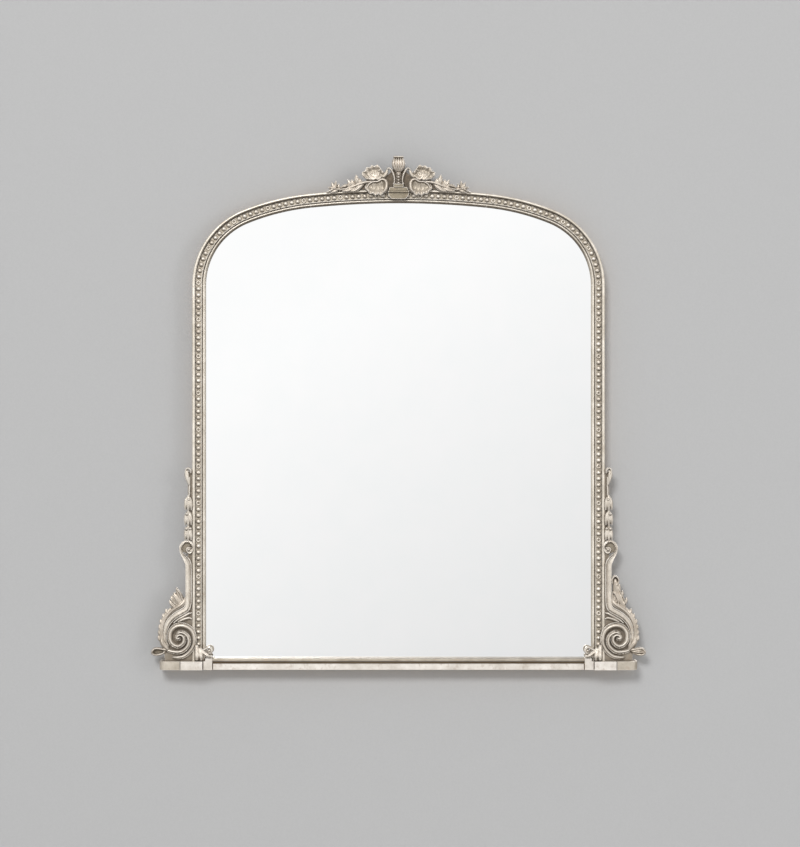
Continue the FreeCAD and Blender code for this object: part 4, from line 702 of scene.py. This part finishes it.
UPPER_BRIDGE = (
    (42, 26, 2.6, 7), (33, 30, 4.2, 8), (28, 37, 4, 8), (25.5, 44, 2, 7))
BUD_BED = (
    (0, 12, 5, 6), (0, 43, 5, 6))
BUD_CAP = (
    (-9.5, 73.2, 2.6, 12.5), (9.5, 73.2, 2.6, 12.5))
BUD_PETAL = (
    (2, 41, 2.6, 9), (4.6, 47.5, 3.2, 12.5), (5.8, 56, 3.8, 15), (5.3, 64, 3.4, 14), (4.6, 69, 2.4, 11))
BUD_BEADS = (
    ((0, 33, 3.5, 12),),
    ((0, 26.5, 3.5, 12),),
    ((0, 20, 3.5, 12),),
    ((0, 13.5, 3.5, 12),))
BUD_TURNS = (-2, -1, 0, 1, 2)

# Lobes: place from root to tip, then shares of the full width and of the height between floor and top
SHELL = ((0.0, 0.6, 0.55), (0.3, 0.9, 0.3), (0.6, 1.0, 0.4), (0.86, 0.8, 1.0), (1.0, 0.3, 0.9))
LEAF_SPREAD = ((0.0, 0.6, 0.9), (0.3, 0.9, 0.8), (0.6, 1.0, 0.45), (0.86, 0.8, 0.95), (1.0, 0.3, 0.85))
LOBE_FLOOR, LOBE_SMOOTHING = 4.5, 3
LOWER_WIDTH, LOWER_TOP = 8.6, 12.5
UPPER_WIDTH, UPPER_TOP = 8.4, 13.0

# The grid of each crest piece
LOWER_GRID = ((20, 88), (-19, 27))
UPPER_GRID = ((18, 90), (13, 61))
SCROLL_GRID = ((2, 34), (1, 55))
SPRAY_GRID = ((58, 172), (-15, 37))
PALMETTE_GRID = ((-24, 24), (3, 81))


def crest_lower(side):
    relief = Relief(CREST_ORIGIN, *LOWER_GRID)
    relief.lobes(LOWER_LOBES, LOWER_WIDTH, LOBE_FLOOR, LOWER_TOP, SHELL, section_cup)
    relief.soften(LOBE_SMOOTHING)
    relief.stroke(CREST_RIM)
    carve(relief, "crest_lower_" + side, OVERLAY_SEAT, "shell_leaf")


def crest_upper(side):
    relief = Relief(CREST_ORIGIN, *UPPER_GRID)
    relief.lobes(UPPER_LOBES, UPPER_WIDTH, LOBE_FLOOR, UPPER_TOP, LEAF_SPREAD, section_cup)
    relief.soften(LOBE_SMOOTHING)
    relief.strokes(UPPER_RIM)
    relief.stroke(UPPER_BRIDGE, section_leaf)
    carve(relief, "crest_upper_" + side, OVERLAY_SEAT, "shell_leaf")


def crest_scroll(side):
    relief = Relief(CREST_ORIGIN, *SCROLL_GRID)
    relief.stroke(CREST_C)
    carve(relief, "crest_scroll_" + side, OVERLAY_SEAT, "crest_leaf")


def crest_spray(side):
    relief = Relief(CREST_ORIGIN, *SPRAY_GRID)
    relief.stroke(SPRAY_STEM)
    relief.strokes(SPRAY_LEAVES, section_leaf)
    carve(relief, "crest_spray_" + side, OVERLAY_SEAT, "crest_leaf")


def palmette():
    """A fluted bud on a stalk of beads, under a rolled cap."""
    relief = Relief(CREST_ORIGIN, *PALMETTE_GRID)
    relief.stroke(BUD_BED, section_flat)
    relief.strokes(BUD_BEADS)
    for turn in BUD_TURNS:
        relief.stroke([(turn * x, z, w, h) for x, z, w, h in BUD_PETAL])
    relief.stroke(BUD_CAP)
    carve(relief, "crest_palmette", OVERLAY_SEAT, "crest_leaf")


PAIRS = (volute, strap, acanthus, foot_leaf, husk_drop, crest_lower, crest_upper, crest_scroll, crest_spray)
for piece in PAIRS:
    piece("left")
    piece("right")
palmette()


# Stage: wall, floor, light and camera

def plane(name, corners, material):
    mesh = bpy.data.meshes.new(name)
    mesh.from_pydata(corners, [], [(0, 1, 2, 3)])
    mesh.materials.append(material)
    obj = bpy.data.objects.new(name, mesh)
    scene.collection.objects.link(obj)


def wall_paint():
    """Flat grey paint seen from in front only, so the back of the mirror shows too."""
    s = Shader("wall_paint")
    mottle = s.noise(240.0, 3.0, 0.5)
    tone = s.mix(s.span(mottle, 0.3, 0.7), WALL_GREY, WALL_PALE)
    s.set(Base_Color=tone, Roughness=0.9, Normal=s.bump(mottle, 0.05, GRAIN_DEPTH))
    path = s.add("ShaderNodeLightPath").outputs
    seen = s.math("MAXIMUM", path["Is Glossy Ray"], path["Is Transmission Ray"])
    seen = s.math("MAXIMUM", path["Is Camera Ray"], seen)
    behind = s.add("ShaderNodeNewGeometry").outputs["Backfacing"]
    solid = s.math("MULTIPLY", seen, s.math("SUBTRACT", 1.0, behind))
    clear = s.add("ShaderNodeBsdfTransparent").outputs[0]
    blend = s.add("ShaderNodeMixShader", {0: solid, 1: clear, 2: s.bsdf.outputs[0]}).outputs[0]
    s.tree.links.new(blend, s.tree.nodes["Material Output"].inputs["Surface"])
    return s.material


def floor_paint():
    s = Shader("floor_paint")
    mottle = s.noise(30.0, 4.0, 0.5)
    tone = s.mix(s.span(mottle, 0.3, 0.7), FLOOR_GREY, FLOOR_PALE)
    return s.set(Base_Color=tone, Roughness=0.7)


WALL_GREY, WALL_PALE = rgb(188, 188, 188), rgb(191, 191, 191)
FLOOR_GREY, FLOOR_PALE = rgb(206, 206, 206), rgb(212, 212, 212)
WALL_Y, FLOOR_Z, REACH = 0.0012, -0.9, 7.0
plane("wall", [(-REACH, WALL_Y, FLOOR_Z), (REACH, WALL_Y, FLOOR_Z), (REACH, WALL_Y, REACH),
               (-REACH, WALL_Y, REACH)], wall_paint())
plane("floor", [(-REACH, -REACH, FLOOR_Z), (REACH, -REACH, FLOOR_Z), (REACH, REACH, FLOOR_Z),
                (-REACH, REACH, FLOOR_Z)], floor_paint())


def area_light(name, place, target, size, energy):
    data = bpy.data.lights.new(name, "AREA")
    data.shape = "RECTANGLE"
    data.size, data.size_y = size
    data.energy = energy
    obj = bpy.data.objects.new(name, data)
    obj.location = place
    obj.rotation_euler = (Vector(target) - Vector(place)).to_track_quat("-Z", "Y").to_euler()
    scene.collection.objects.link(obj)


# Lamps: place, aim, size in metres, power in watts
area_light("key", (-2.2, -10.0, 5.6), (0.0, 0.0, 0.5), (3.2, 2.6), 590.0)
area_light("side", (6.0, -6.0, 1.5), (0.0, 0.0, 0.6), (2.4, 3.0), 80.0)
area_light("rear", (2.4, 5.5, 3.4), (0.0, 0.0, 0.6), (2.6, 2.6), 230.0)


# What the glass and the camera see of the surroundings rises with height and falls off to the right
PLAIN_LEVEL, MIDDLE_LEVEL, LEAST_LEVEL, MOST_LEVEL = 0.46, 0.936, 0.74, 1.0
UPWARD_RISE, SIDE_SHARE = 1.05, 0.6


def world_light():
    """Even pale surroundings; what the glass reflects runs from white at the upper left to pale grey."""
    world = bpy.data.worlds.new("studio")
    scene.world = world
    world.use_nodes = True
    tree = world.node_tree
    back = tree.nodes["Background"]
    parts = tree.nodes.new("ShaderNodeSeparateXYZ")
    tree.links.new(tree.nodes.new("ShaderNodeTexCoord").outputs["Generated"], parts.inputs[0])

    def maths(operation, a, b):
        node = tree.nodes.new("ShaderNodeMath")
        node.operation = operation
        for socket, value in zip(node.inputs, (a, b)):
            if isinstance(value, bpy.types.NodeSocket):
                tree.links.new(value, socket)
            else:
                socket.default_value = value
        return node.outputs[0]

    slope = maths("SUBTRACT", parts.outputs["Z"], maths("MULTIPLY", parts.outputs["X"], SIDE_SHARE))
    value = maths("ADD", maths("MULTIPLY", slope, UPWARD_RISE), MIDDLE_LEVEL)
    value = maths("MINIMUM", maths("MAXIMUM", value, LEAST_LEVEL), MOST_LEVEL)
    path = tree.nodes.new("ShaderNodeLightPath").outputs
    seen = maths("MAXIMUM", path["Is Glossy Ray"], path["Is Transmission Ray"])
    seen = maths("MAXIMUM", path["Is Camera Ray"], seen)
    shown = maths("MULTIPLY", seen, maths("SUBTRACT", value, PLAIN_LEVEL))
    tree.links.new(maths("ADD", shown, PLAIN_LEVEL), back.inputs["Strength"])
    back.inputs["Color"].default_value = (1.0, 1.0, 1.0, 1.0)


world_light()

# The camera sees the photograph's frame: its size, the mirror's middle column and its base row in pixels
PHOTO_WIDTH, PHOTO_HEIGHT, MIDDLE_COLUMN, BASE_ROW = 800, 847, 398.5, 669.5
PIXEL = 2.3 * MM
LENS, SENSOR, PICTURE_PLANE = 100.0, 36.0, -45.0 * MM
VIEW_HEIGHT = PHOTO_HEIGHT * PIXEL
CENTRE = Vector(((PHOTO_WIDTH / 2 - MIDDLE_COLUMN) * PIXEL, PICTURE_PLANE,
                 (BASE_ROW - PHOTO_HEIGHT / 2) * PIXEL))
camera = bpy.data.objects.new("camera", bpy.data.cameras.new("camera"))
camera.data.lens = LENS
camera.data.sensor_width = SENSOR
camera.location = CENTRE + Vector((0.0, -LENS / SENSOR * VIEW_HEIGHT, 0.0))
camera.rotation_euler = (math.radians(90), 0.0, 0.0)
scene.collection.objects.link(camera)
scene.camera = camera
